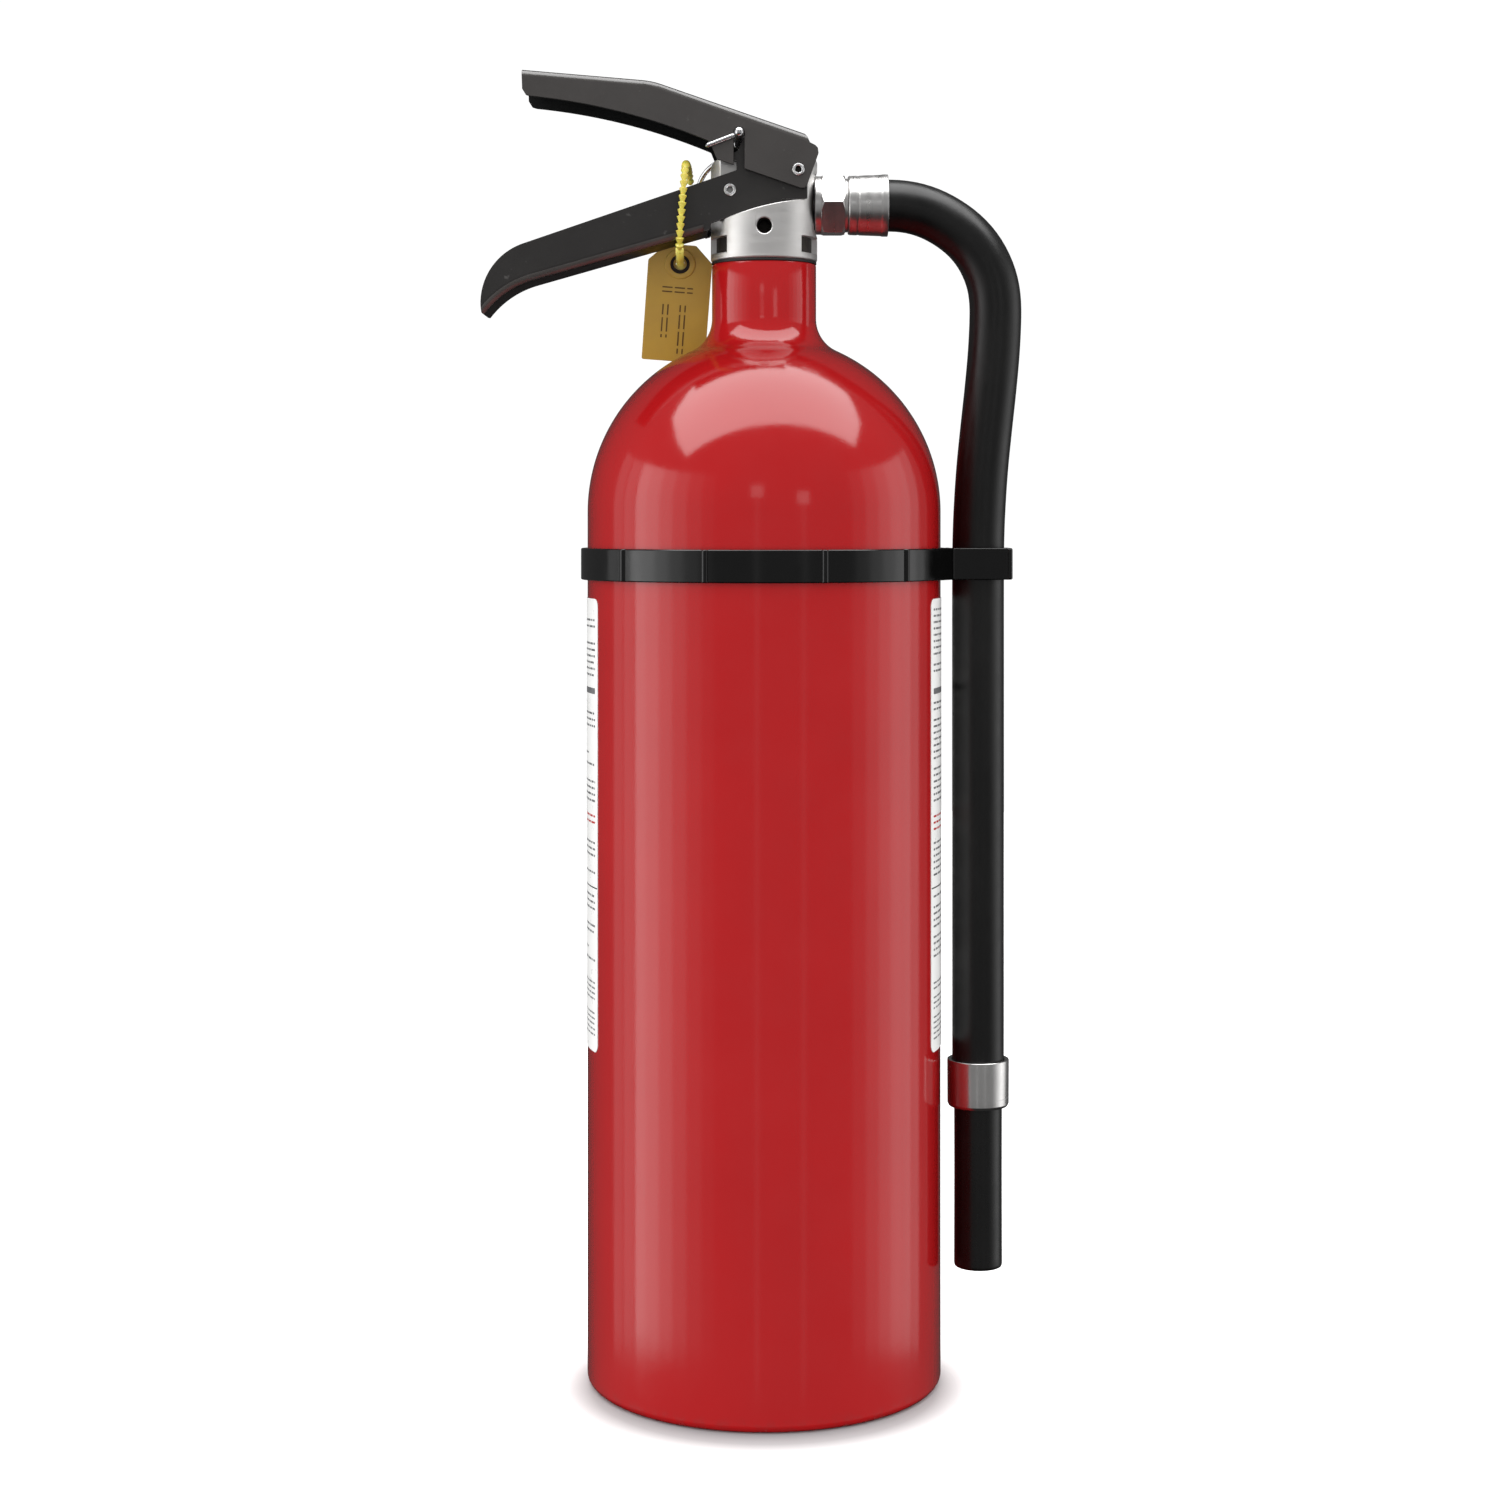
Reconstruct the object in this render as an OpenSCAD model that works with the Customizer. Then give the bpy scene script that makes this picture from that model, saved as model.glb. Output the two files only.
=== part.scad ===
// Hand-held dry chemical fire extinguisher with a squeeze valve, a gauge and a hose.
// Z is up, the handles point to -X, the hose hangs at +X, and the gauge and label face +Y.
// The origin is the centre of the base, on the cylinder's axis. Lengths are in millimetres.

/* [Cylinder] */
// Outside diameter of the cylinder
cyl_d = 108; // [107:0.5:108]
// Wall thickness of the cylinder
cyl_wall = 2; // [1.5:0.1:3]
// Height of the centre of the domed shoulder
shoulder_z = 264.5; // [256:0.5:280]
// Outside diameter of the neck
neck_d = 31.9; // [31:0.1:32.2]
// Radius of the fillet between the shoulder and the neck
neck_fillet = 11; // [8:0.5:13]
// Radius of the bottom edge
base_edge = 4; // [2:0.5:6]
// Depth of the hollow under the base
base_hollow = 6; // [3:0.5:8]

/* [Label] */
// Angle that the label wraps round the front
label_angle = 220; // [180:1:240]
// Height of the label's lower edge
label_low = 102.6; // [90:0.1:120]
// Height of the label's upper edge
label_high = 238.4; // [200:0.1:240]

/* [Hose band] */
// Height of the middle of the band round the cylinder
band_z = 248.7; // [244:0.1:252]
// Height of the band's edge
band_h = 9.6; // [8:0.1:12]

/* [Valve] */
// Outside diameter of the valve body
valve_d = 32.6; // [32.2:0.1:33]
// Width of the valve body between the handles' cheeks
valve_w = 18.8; // [18:0.1:19]

/* [Handles] */
// Thickness of the sheet of both handles
sheet = 1.6; // [1.2:0.1:1.6]
// Width of the carrying handle, outside
handle_w = 22.4; // [22.2:0.1:22.4]
// Width of the squeeze lever, outside
lever_w = 26.2; // [26.2:0.1:27]
// Angle that the lever turns at a full squeeze
squeeze = 12; // [8:1:12]

/* [Pin and seal] */
// Diameter of the pull pin
pin_d = 3; // [2.6:0.1:3]
// Mean radius of the pull ring
ring_r = 13; // [12.5:0.5:14]
// Diameter of the pull ring's wire
ring_wire = 1.6; // [1.4:0.1:1.8]
// Diameter of the seal's strap
strap_d = 2; // [1.6:0.1:2.2]

/* [Hose] */
// Outside diameter of the hose
hose_d = 15.9; // [15:0.1:15.9]
// Height of the nozzle's mouth above the floor
nozzle_z = 33.6; // [20:0.1:60]

/* [Hidden] */
$fn = 64;
eps = 0.01;
// Radial gap of a plain fit
fit = 0.05;
// Half the length of a cutting rod that passes right through a body
through = 20;

cyl_r = cyl_d / 2;
neck_r = neck_d / 2;
neck_bore = 11.9;
band_in = cyl_r + 0.1;
band_out = cyl_r + 2;
// The valve group is drawn from the top of the neck
neck_top = shoulder_z + 75.7;
// The hollow of the base is part of a sphere through the edge of its foot
foot_r = 44;
hollow_r = (foot_r * foot_r + base_hollow * base_hollow) / (2 * base_hollow);
hollow_z = base_hollow - hollow_r;
floor_t = 3;
fill_z = 236;

valve_r = valve_d / 2;
skirt_z = 0.7;
block_top = 31.3;
spigot_low = -14;
// The ledge under the carrying handle is part of a wide arc about a Y axis
ledge_x = 35.3;
ledge_z = -127.3;
ledge_r = 148;
// Bores, from the spring's up to the stem's
spring_bore = 7;
seat_z = 5;
seat_bore = 4;
chamber_r = 5;
chamber_z = 9;
chamber_top = 22;
stem_bore = 3.05;
stem_top = 40.8;
stem_neck_r = 1.8;
spring_low = -12;
spring_high = 0.5;
hanger_r = 2.1;
hanger_z = 10.4;
hanger_end = 8.5;
hanger_mouth = 16;
// Groove of the stem's O-ring
groove_z = 26.2;
groove_h = 1.2;
groove_r = 2.1;
// Spanner slots round the skirt
slot_starts = [-170.5, -45.5, 9.5, 134.5];
slot_angle = 36;
slot_r = 14.4;
slot_z = 2.9;
slot_h = 4.9;
siphon_r = 4.75;
siphon_low = 14;
siphon_top = -16.2;

// Pivot of the lever, and the rivet of the carrying handle: x and z
pivot = [10.3, 27.6];
anchor = [-10.4, 21.7];
rivet_r = 1.4;
rivet_head = 1.8;

handle_in = handle_w / 2 - sheet;
lever_in = lever_w / 2 - sheet;
pin_xz = [-7.6, 38.8];
pin_r = pin_d / 2;
// Where the pin's eye holds the ring: y and z, and how far the ring leans out on the gauge
eye = [17.5, 35.4];
ring_lean = 38;

gauge_z = 10.3;
gauge_r = 13;
gauge_back = 16.25;
gauge_front = gauge_back + 9.7;
gauge_rim = gauge_back + 8.8;
// Radius of the lens and the dial, and where the dial and the needle lie behind the lens
lens_r = 11.9;
dial_y = gauge_back + 5.8;
needle_y = 6.7;
gauge_port = 4.55;
gauge_port_y = 7;

port_z = 18.2;
port_x = 15.2;
port_r = 6;
hex_x = 17.3;
hex_end = 24.7;
// The upper ferrule on its stub
stub_r = 5;
sleeve_x = 25.5;
coupling_end = 37.9;
hose_r = hose_d / 2;
hose_x = 65.6;
ferrule_low = 82.7;
ferrule_high = 97.1;
ferrule_r = 9.45;
// The nozzle, and how far it goes up into the lower ferrule
nozzle_r = 7.35;
nozzle_end = ferrule_low + 6.4;

// Middle line of the hose in the XZ plane, from inside the upper ferrule to inside the lower one
hose_route = [[31, 358.4], [37, 358.4], [42, 358.2], [47, 357.3], [52, 355.5], [57, 352.7],
    [61.5, 349.2], [65.2, 345], [68, 340.2], [69.9, 335], [70.8, 329.5], [70.9, 323], [70.4, 313],
    [69.4, 302], [68.1, 290], [66.9, 278], [66.1, 266], [65.7, 255], [65.6, 240], [65.6, 205],
    [65.6, 165], [65.6, 125], [65.6, 92]];
// Middle line of the seal's strap: through the tag, under the handle, up its near side and over it
strap_route = [[-26, 17.2, 0.9], [-26, 14.5, 1.6], [-26, 9, 2], [-25.8, 2, 2.4], [-25.7, -5, 2.9],
    [-25.6, -10.6, 4], [-25.5, -12.9, 7], [-25.2, -13.3, 12], [-24.8, -13.2, 17], [-24.4, -12.9, 22],
    [-24.1, -11.7, 26], [-23.9, -9, 29], [-23.8, -4.5, 30.3], [-23.7, 0, 30.6], [-23.5, 4.5, 30.3],
    [-23.2, 9, 29], [-22.8, 12, 26.4]];
// The rest of the loop, through the pull ring and back to the tag
strap_end_route = [[-22.5, 12.7, 25.4], [-21.4, 16, 23], [-19.2, 21.5, 22], [-17.3, 26.3, 21.8],
    [-18.4, 31, 22.6], [-22.2, 32.2, 20.2], [-25.6, 30.2, 14.6], [-26.8, 25.5, 8.4], [-26.5, 21.4, 3.2],
    [-26.1, 18.4, 0.7]];
// The tag hangs from its eyelet, leans back over the shoulder and hangs a little askew
tag_at = [-26.1, 14.5, 1.8];
tag_lean = 19;
tag_tilt = 4.5;

function unit(v) = v / norm(v);
function arc(cx, cy, r, from, to, n) =
    [for (i = [0:n]) let (a = from + (to - from) * i / n) [cx + r * cos(a), cy + r * sin(a)]];
// Height of the ledge at x, and of the upper edge of the carrying handle
function ledge_at(x) = ledge_z + sqrt(ledge_r * ledge_r - (x - ledge_x) * (x - ledge_x));
function handle_top(x) = 28.3 + 0.3423 * (x + 6.5);
function handle_low(x) = 9.3 + 0.285 * (x + 17.6);
// Where a point of the lever goes at a full squeeze
function squeezed(p) =
    pivot + [[cos(squeeze), -sin(squeeze)], [sin(squeeze), cos(squeeze)]] * (p - pivot);

module at_valve() translate([0, 0, neck_top]) children();
// A rod along X or Y, from one place to another
module rod_x(from, to, r) translate([from, 0, 0]) rotate([0, 90, 0]) cylinder(h = to - from, r = r);
module rod_y(from, to, r) translate([0, from, 0]) rotate([-90, 0, 0]) cylinder(h = to - from, r = r);
// A shape in the XZ plane, thickened from one y to another
module plate(from, to) translate([0, to, 0]) rotate([90, 0, 0]) linear_extrude(to - from) children();
module torus(r, wire) rotate_extrude() translate([r, 0]) circle(wire);

// A round tube along a path, with flat ends; side_dir is never parallel to the path
module swept_tube(path, r, sides, side_dir) {
    last = len(path) - 1;
    points = [for (i = [0:last]) let (
            t = unit(path[min(i + 1, last)] - path[max(i - 1, 0)]),
            u = unit(cross(side_dir, t)), v = cross(t, u))
        for (k = [0:sides - 1]) path[i] + r * (cos(360 * k / sides) * u + sin(360 * k / sides) * v)];
    walls = [for (i = [0:last - 1], k = [0:sides - 1]) let (
            a = i * sides + k, b = i * sides + (k + 1) % sides)
        each [[a, a + sides, b + sides], [a, b + sides, b]]];
    ends = [[for (k = [0:sides - 1]) k], [for (k = [sides - 1:-1:0]) last * sides + k]];
    polyhedron(points, concat(walls, ends));
}

// Half of the cylinder's upright section: rounded edge, side, dome, fillet and neck
module vessel_outline() {
    fillet_x = neck_r + neck_fillet;
    rise = sqrt(pow(cyl_r + neck_fillet, 2) - fillet_x * fillet_x);
    touch = atan2(rise, fillet_x);
    polygon(concat([[0, 0]],
        arc(cyl_r - base_edge, base_edge, base_edge, -90, 0, 8),
        arc(0, shoulder_z, cyl_r, 0, touch, 24),
        arc(fillet_x, shoulder_z + rise, neck_fillet, 180 + touch, 180, 12),
        [[neck_r, neck_top], [0, neck_top]]));
}

module hollow_section() {
    r = cyl_r - cyl_wall;
    difference() {
        union() {
            translate([0, floor_t]) square([r, shoulder_z - floor_t]);
            intersection() {
                translate([0, shoulder_z]) circle(r);
                translate([0, shoulder_z - eps]) square([r, r + eps]);
            }
            translate([0, shoulder_z]) square([neck_bore, neck_top - shoulder_z + 1]);
        }
        translate([0, hollow_z]) circle(hollow_r + floor_t);
    }
}

// Drawn, necked and painted aluminium
module cylinder_shell() color("firebrick") rotate_extrude($fn = 128) difference() {
    vessel_outline();
    hollow_section();
    translate([0, hollow_z]) circle(hollow_r);
}

// Vinyl label round the front
module label() color("white")
    rotate_extrude(angle = label_angle, start = 90 - label_angle / 2, $fn = 128)
        translate([cyl_r + fit, label_low]) square([0.15, label_high - label_low]);

// The powder that the cylinder is filled with, round the siphon tube
module dry_chemical() color("khaki") rotate_extrude($fn = 128) difference() {
    translate([5, floor_t + fit]) square([cyl_r - cyl_wall - fit - 5, fill_z - floor_t]);
    translate([0, hollow_z]) circle(hollow_r + floor_t + fit);
}

module neck_gasket() color("black") at_valve() rotate_extrude() {
    inner = neck_bore + 0.6;
    translate([inner, 0]) square([neck_r + 0.1 - inner, skirt_z]);
}

// Plastic band with raised ribs and a clip for the hose, which opens away from the wall
module hose_band() color([0.07, 0.07, 0.07]) translate([0, 0, band_z - band_h / 2]) {
    linear_extrude(band_h) {
        difference() {
            circle(band_out, $fn = 128);
            circle(band_in, $fn = 128);
        }
        clip_outline();
    }
    for (a = [-48, 48, 132, 228]) band_rib(a, 0.8);
    for (a = [-18, 18, 162, 198]) band_rib(a, 0.5);
}

// A rib across the band, at an angle from the wall side
module band_rib(angle, height) {
    rib = 2.4;
    root = 0.5;
    rotate_extrude(angle = rib, start = angle - 90 - rib / 2, $fn = 128)
        translate([band_out - root, 0]) square([height + root, band_h]);
}

// The clip seen from above: a straight arm from the band, and a U round the hose
module clip_outline() {
    gap = 0.3;
    left = hose_x - hose_r - gap;
    right = hose_x + hose_r + gap;
    front = -hose_r - gap;
    wall = 1.5;
    corner = 2;
    inside = 0.6;
    arm_a = 62;
    // straight arm along the band's tangent
    difference() {
        polygon([[band_out * sin(arm_a), -band_out * cos(arm_a)], [left, front - wall], [left, 4],
            [cyl_r, 0], [cyl_r * sin(arm_a), -cyl_r * cos(arm_a)]]);
        circle(band_in, $fn = 128);
    }
    difference() {
        union() {
            translate([left - wall + corner, front - wall])
                square([right - left + 2 * wall - 2 * corner, 12]);
            translate([left - wall, front - wall + corner]) square([right - left + 2 * wall, 14]);
            for (x = [left - wall + corner, right + wall - corner])
                translate([x, front - wall + corner]) circle(corner);
        }
        translate([left, front + inside]) square([right - left, through]);
        translate([left + inside, front]) square([right - left - 2 * inside, through]);
        for (x = [left + inside, right - inside]) translate([x, front + inside]) circle(inside);
        circle(band_in, $fn = 128);
    }
}

// Outline of the valve's upper block seen from the hanger side: its far corner is rounded
module block_outline() {
    r = 2.5;
    low = ledge_at(-valve_r) - 1;
    translate([-valve_r, low]) square([2 * valve_r, block_top - r - low]);
    translate([-valve_r + r, block_top - r - eps]) square([2 * valve_r - r, r + eps]);
    translate([-valve_r + r, block_top - r]) circle(r);
}

// Cast and turned aluminium body: threaded spigot, slotted skirt, ledge and upper block
module valve_body() color("gainsboro") at_valve() difference() {
    union() {
        translate([0, 0, spigot_low]) cylinder(h = 1 - spigot_low, r = neck_bore - fit);
        intersection() {
            translate([0, 0, skirt_z]) cylinder(h = block_top, r = valve_r, $fn = 128);
            translate([ledge_x, 0, ledge_z]) rod_y(-through, through, ledge_r);
        }
        intersection() {
            cylinder(h = block_top + 1, r = valve_r, $fn = 128);
            plate(-valve_w / 2, valve_w / 2) block_outline();
        }
    }
    // lower bore for the spring, the seat, the chamber and the stem's bore
    translate([0, 0, spigot_low - 1]) cylinder(h = seat_z - spigot_low + 1, r = spring_bore);
    cylinder(h = chamber_z + 1, r = seat_bore);
    translate([0, 0, chamber_z]) cylinder(h = chamber_top - chamber_z, r = chamber_r);
    cylinder(h = block_top + 1, r = stem_bore);
    // hose port and its face, gauge port and its face, and the gauge's pressure passage
    translate([0, 0, port_z]) {
        rod_x(chamber_r - 2, through, port_r);
        rod_x(port_x, through, 9.9);
    }
    translate([0, 0, gauge_z]) {
        rod_y(gauge_port_y, through, gauge_port);
        rod_y(gauge_back - fit, through, gauge_r + 0.4);
    }
    translate([0, gauge_port_y + 2.4, spigot_low - 1]) cylinder(h = gauge_z - spigot_low - 2, r = 1.2);
    // blind hanger hole with a chamfered mouth
    translate([0, 0, hanger_z]) {
        rod_y(-through, -hanger_end, hanger_r);
        translate([0, -hanger_mouth, 0]) rotate([90, 0, 0])
            cylinder(h = 2, r1 = hanger_r, r2 = hanger_r + 2);
    }
    // rivet holes, and the spanner slots round the skirt
    for (at = [pivot, anchor]) translate([at[0], 0, at[1]]) rod_y(-through, through, rivet_r + fit);
    for (start = slot_starts) rotate_extrude(angle = slot_angle, start = start)
        translate([slot_r, slot_z]) square([valve_r + 2 - slot_r, slot_h]);
}

// Tube that the powder rises through, with a slanted mouth near the base
module siphon_tube() color("gainsboro") difference() {
    translate([0, 0, siphon_low]) cylinder(h = neck_top + siphon_top - siphon_low, r = siphon_r);
    translate([0, 0, siphon_low - 4]) cylinder(h = neck_top, r = siphon_r - 1.25);
    translate([-8, -8, siphon_low - 9]) rotate([0, -25, 0]) cube([20, 16, 9]);
}

module siphon_adapter() color("ivory") at_valve() difference() {
    union() {
        // a plug in the spring's bore, a flange under the spigot and a socket for the tube
        translate([0, 0, spigot_low - 0.1]) cylinder(h = 2.05, r = spring_bore - fit);
        translate([0, 0, spigot_low - 3]) cylinder(h = 3 - fit, r = 9);
        translate([0, 0, spigot_low - 10]) cylinder(h = 7.1, r = 6.4);
    }
    translate([0, 0, siphon_top - 14]) cylinder(h = 14.2, r = siphon_r + fit);
    translate([0, 0, siphon_top - 4]) cylinder(h = 10, r = 3);
}

// Spring that closes the valve
module valve_spring() color("silver") at_valve() {
    turns = 5;
    steps = 14;
    coil_r = 4.7;
    wire = 0.6;
    rise = spring_high - spring_low - 2 * wire;
    path = [for (i = [0:turns * steps]) let (a = 360 * i / steps)
        [coil_r * cos(a), coil_r * sin(a), spring_low + wire + rise * i / (turns * steps)]];
    swept_tube(path, wire, 8, [0, 0, 1]);
}

// Stem: a plate under the seat, a thin shank through the seat and a round-headed plunger
module valve_stem() color("silver") at_valve() difference() {
    union() {
        translate([0, 0, -3]) cylinder(h = 4, r = 3);
        translate([0, 0, spring_high + 0.1]) cylinder(h = 2, r = 6);
        cylinder(h = chamber_top, r = stem_neck_r);
        intersection() {
            translate([0, 0, chamber_top - 1])
                cylinder(h = stem_top - chamber_top + 1, r = stem_bore - fit);
            translate([0, 0, stem_top - 6]) union() {
                sphere(6);
                translate([0, 0, -30]) cylinder(h = 30, r = 6);
            }
        }
    }
    translate([0, 0, groove_z]) difference() {
        cylinder(h = groove_h, r = stem_bore + 2);
        translate([0, 0, -1]) cylinder(h = groove_h + 2, r = groove_r);
    }
}

// Washer that the stem's plate presses on the seat
module stem_seal() color("dimgray") at_valve() translate([0, 0, spring_high + 2.1 + fit]) difference() {
    cylinder(h = seat_z - spring_high - 2.1 - 2 * fit, r = 6.2);
    translate([0, 0, -1]) cylinder(h = 5, r = stem_neck_r + fit);
}

module stem_o_ring() color("black") at_valve() translate([0, 0, groove_z + groove_h / 2])
    torus(groove_r + 0.46, 0.44);

// A rivet along Y with a countersunk mouth at each end; face is where its heads sit
module tubular_rivet(at, face) translate([at[0], 0, at[1]]) difference() {
    end = face + 0.5;
    union() {
        rod_y(-end, end, rivet_r);
        for (s = [0, 1]) mirror([0, s, 0]) rod_y(face, end, rivet_head);
    }
    for (s = [0, 1]) mirror([0, s, 0]) rod_y(face - 2, end + 1, 0.85);
}

module handle_rivet() color("white") at_valve() tubular_rivet(anchor, handle_w / 2);
module pivot_rivet() color("white") at_valve() tubular_rivet(pivot, lever_w / 2 + 0.3);

// Side of the carrying handle: a hooked tip, a straight run, and a cheek on the valve's ledge
module handle_side() {
    top_tip = arc(-66.85, -12.47, 19, 189, 109, 10);
    low_tip = arc(-62.33, -32.58, 28, 106, 143, 7);
    ledge = [for (x = [13:-4.8:-16]) [x, ledge_at(x) + 0.1]];
    difference() {
        union() {
            polygon(concat(top_tip, [[-8.4, handle_top(-8.4)], [-2, 31], [11, 31], [13, 29]], ledge,
                [[-16.6, handle_low(-16.6)]], low_tip));
            // ear that the pull pin rests in
            polygon([[-8.4, 27], [-8.4, 30.3], [-13.4, 31.4], [-13.4, 38], [-2.6, 38], [-1.4, 30]]);
        }
        for (at = [pivot, anchor]) translate(at) circle(rivet_r + fit);
        pin_notch();
    }
}

// Open notch that the pin slides down in when the lever is squeezed with the pin in
module pin_notch() {
    low = squeezed(pin_xz);
    rise = pin_xz - low;
    half = pin_r + 0.35;
    depth = 9;
    translate(low) circle(half + 0.05);
    translate(low) rotate(-atan2(rise[0], rise[1])) translate([-half, 0]) square([2 * half, depth]);
}

// Web of the carrying handle, one sheet thick along its underside
module handle_web() {
    run = arc(-62.33, -32.58, 28, 143, 106, 7);
    inside = arc(-62.33, -32.58, 28 + sheet, 106, 143, 7);
    end = -valve_r - 1.2;
    polygon(concat(run, [[end, handle_low(end)], [end, handle_low(end) + sheet]], inside));
}

// Folded black sheet, open upwards
module carry_handle() color([0.1, 0.1, 0.1]) at_valve() {
    for (s = [0, 1]) mirror([0, s, 0]) plate(handle_in, handle_w / 2) handle_side();
    plate(-handle_in - eps, handle_in + eps) handle_web();
}

// Upper edge of the lever, from its tip to the end over the pivot, raised or lowered by d
function lever_top(d) = concat([[-73.3, 58 + d]], arc(-39.2, 30 + d, 25, 85.1, 71, 5), [[12.3, 38.65 + d]]);

// Cheek of the lever. The near one is slotted so that the pin can be laid in from below
module lever_side(slotted) {
    lower = arc(-89.4, -138.3, 189, 67.3, 84.3, 12);
    slot = pin_r + 0.15;
    difference() {
        polygon(concat(lever_top(0), [[13.2, 37.3], [13.8, 35.8], [15.4, 35], [16.2, 34.2], [16.4, 32.6],
            [13, 23], [12.2, 22], [11, 22], [-14.3, 30.75]], lower, [[-72, 50.2], [-73.1, 52]]));
        translate(pivot) circle(rivet_r + fit);
        translate(pin_xz) circle(slot);
        if (slotted) translate([pin_xz[0] - slot, 20]) square([2 * slot, pin_xz[1] - 20]);
    }
}

// Folded black sheet, open downwards
module squeeze_lever() color([0.1, 0.1, 0.1]) at_valve() {
    top = lever_top(0);
    under = lever_top(-sheet * 1.06);
    for (s = [0, 1]) mirror([0, s, 0]) plate(lever_in, lever_w / 2) lever_side(s == 1);
    plate(-lever_in - eps, lever_in + eps)
        polygon(concat(top, [for (i = [len(under) - 1:-1:0]) under[i]]));
}

// Small wire keeper on the lever's near cheek, beside the pin
module pin_keeper() color("silver") at_valve()
    translate([pin_xz[0] - 2.2, -lever_w / 2 - 0.75, pin_xz[1] - 1.2])
        rotate([0, -21, 0]) rod_x(-8, 0, 0.7);

module gauge_case() color("silver") at_valve() translate([0, 0, gauge_z]) difference() {
    union() {
        rod_y(gauge_back, gauge_rim, gauge_r);
        rod_y(gauge_port_y + 0.2, gauge_back + 1, gauge_port - fit);
    }
    rod_y(gauge_back + 1.8, gauge_rim + 1, gauge_r - 1);
    rod_y(0, gauge_back + 2, 1.2);
}

// Curled pressure tube that turns the needle
module bourdon_tube() color("goldenrod") at_valve()
    translate([0, gauge_back + 1.85, gauge_z]) rotate([-90, 0, 0]) {
        rotate_extrude(angle = 290, start = 95) translate([6.6, 0.6]) square([1.2, 2.6]);
        translate([-1.5, 2.6, 0]) cube([3, 4.6, 3.2]);
    }

module gauge_dial() color("white") at_valve() translate([0, 0, gauge_z]) difference() {
    rod_y(dial_y, dial_y + 0.4, lens_r);
    rod_y(dial_y - 1, dial_y + 1, 0.9);
}

module gauge_needle() color("black") at_valve() translate([0, gauge_back, gauge_z]) {
    rod_y(needle_y - 3.3, needle_y + 0.7, 0.8);
    rod_y(needle_y, needle_y + 0.7, 1.7);
    plate(needle_y, needle_y + 0.4)
        polygon([[-0.7, 0], [-0.2, 8.6], [0.2, 8.6], [0.7, 0], [0.9, -3.4], [-0.9, -3.4]]);
}

module gauge_lens() color([0.8, 0.9, 0.95, 0.4]) at_valve() translate([0, 0, gauge_z])
    rod_y(gauge_rim - 1, gauge_rim, lens_r);

module gauge_bezel() color("silver") at_valve() translate([0, 0, gauge_z]) difference() {
    rod_y(gauge_back + 6.4, gauge_front, gauge_r + 0.5);
    rod_y(0, gauge_rim + fit, gauge_r + fit);
    rod_y(0, gauge_front + 1, lens_r - 0.9);
}

// Straight pin through both cheeks, with an eye for the ring at its far end
module pull_pin() color("silver") at_valve() {
    eye_w = 2.6;
    eye_r = 2.4;
    tip = -13.9;
    difference() {
        union() {
            translate([pin_xz[0], 0, pin_xz[1]]) {
                rod_y(tip, eye[0], pin_r);
                translate([0, tip, 0]) scale(pin_r) sphere(1);
            }
            translate([pin_xz[0] - eye_w / 2, eye[0] - eye_r, eye[1]])
                cube([eye_w, 2 * eye_r, pin_xz[1] - eye[1]]);
            translate([pin_xz[0], eye[0], eye[1]]) rod_x(-eye_w / 2, eye_w / 2, eye_r);
        }
        translate([pin_xz[0], eye[0], eye[1]]) rod_x(-5, 5, ring_wire / 2 + 0.4);
    }
}

module pull_ring() color("silver") at_valve()
    translate([pin_xz[0], eye[0], eye[1]]) rotate([ring_lean, 0, 0])
        translate([0, 0, -ring_r]) rotate([90, 0, 0]) torus(ring_r, ring_wire / 2);

module seal_strap() color("gold") at_valve() swept_tube(strap_route, strap_d / 2, 8, [1, 0, 0]);
module seal_strap_end() color("gold") at_valve() swept_tube(strap_end_route, strap_d / 2, 8, [1, 0, 0]);

module seal_tag() color("goldenrod") at_valve()
    translate(tag_at) rotate([tag_lean, 0, 0]) rotate([0, tag_tilt, 0]) difference() {
        union() {
            plate(-0.4, 0.4)
                polygon([[-10, -31.6], [10, -31.6], [10, 0.6], [4.6, 6], [-4.6, 6], [-10, 0.6]]);
            rod_y(-0.9, 0.9, 4.7);
        }
        rod_y(-2, 2, 3);
    }

module coupling_gasket() color("black") at_valve() translate([0, 0, port_z]) difference() {
    rod_x(port_x, port_x + 0.25, 8.6);
    rod_x(port_x - 1, port_x + 1, port_r + 0.4);
}

// Swivel nut: a stub in the valve's port, a collar, a chamfered hexagon and a neck for the ferrule
module hex_coupling() color("gainsboro") at_valve() translate([0, 0, port_z]) difference() {
    bevel = 1.1;
    union() {
        rod_x(6, port_x + 1, port_r - fit);
        rod_x(port_x + 0.3, hex_x + 0.2, 8.9);
        intersection() {
            translate([hex_x, 0, 0]) rotate([0, 90, 0]) rotate(30)
                cylinder(h = hex_end - hex_x, r = 10.05, $fn = 6);
            translate([hex_x, 0, 0]) rotate([0, 90, 0]) union() {
                cylinder(h = bevel, r1 = 9.1, r2 = 10.2);
                translate([0, 0, bevel]) cylinder(h = hex_end - hex_x - 2 * bevel, r = 10.2);
                translate([0, 0, hex_end - hex_x - bevel]) cylinder(h = bevel, r1 = 10.2, r2 = 9.1);
            }
        }
        rod_x(hex_end - 0.7, sleeve_x, 8.3);
        rod_x(sleeve_x - 0.5, sleeve_x + 5, stub_r);
    }
    rod_x(0, coupling_end, 3.2);
}

// Crimped sleeve, a little wider at its mouth
module upper_ferrule() color("gainsboro") at_valve() translate([sleeve_x, 0, port_z]) rotate([0, 90, 0])
    difference() {
        cylinder(h = coupling_end - sleeve_x, r1 = 9, r2 = 9.5);
        translate([0, 0, -1]) cylinder(h = 3, r = stub_r + fit);
        translate([0, 0, 1.5]) cylinder(h = coupling_end - sleeve_x, r = hose_r + fit);
    }

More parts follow.
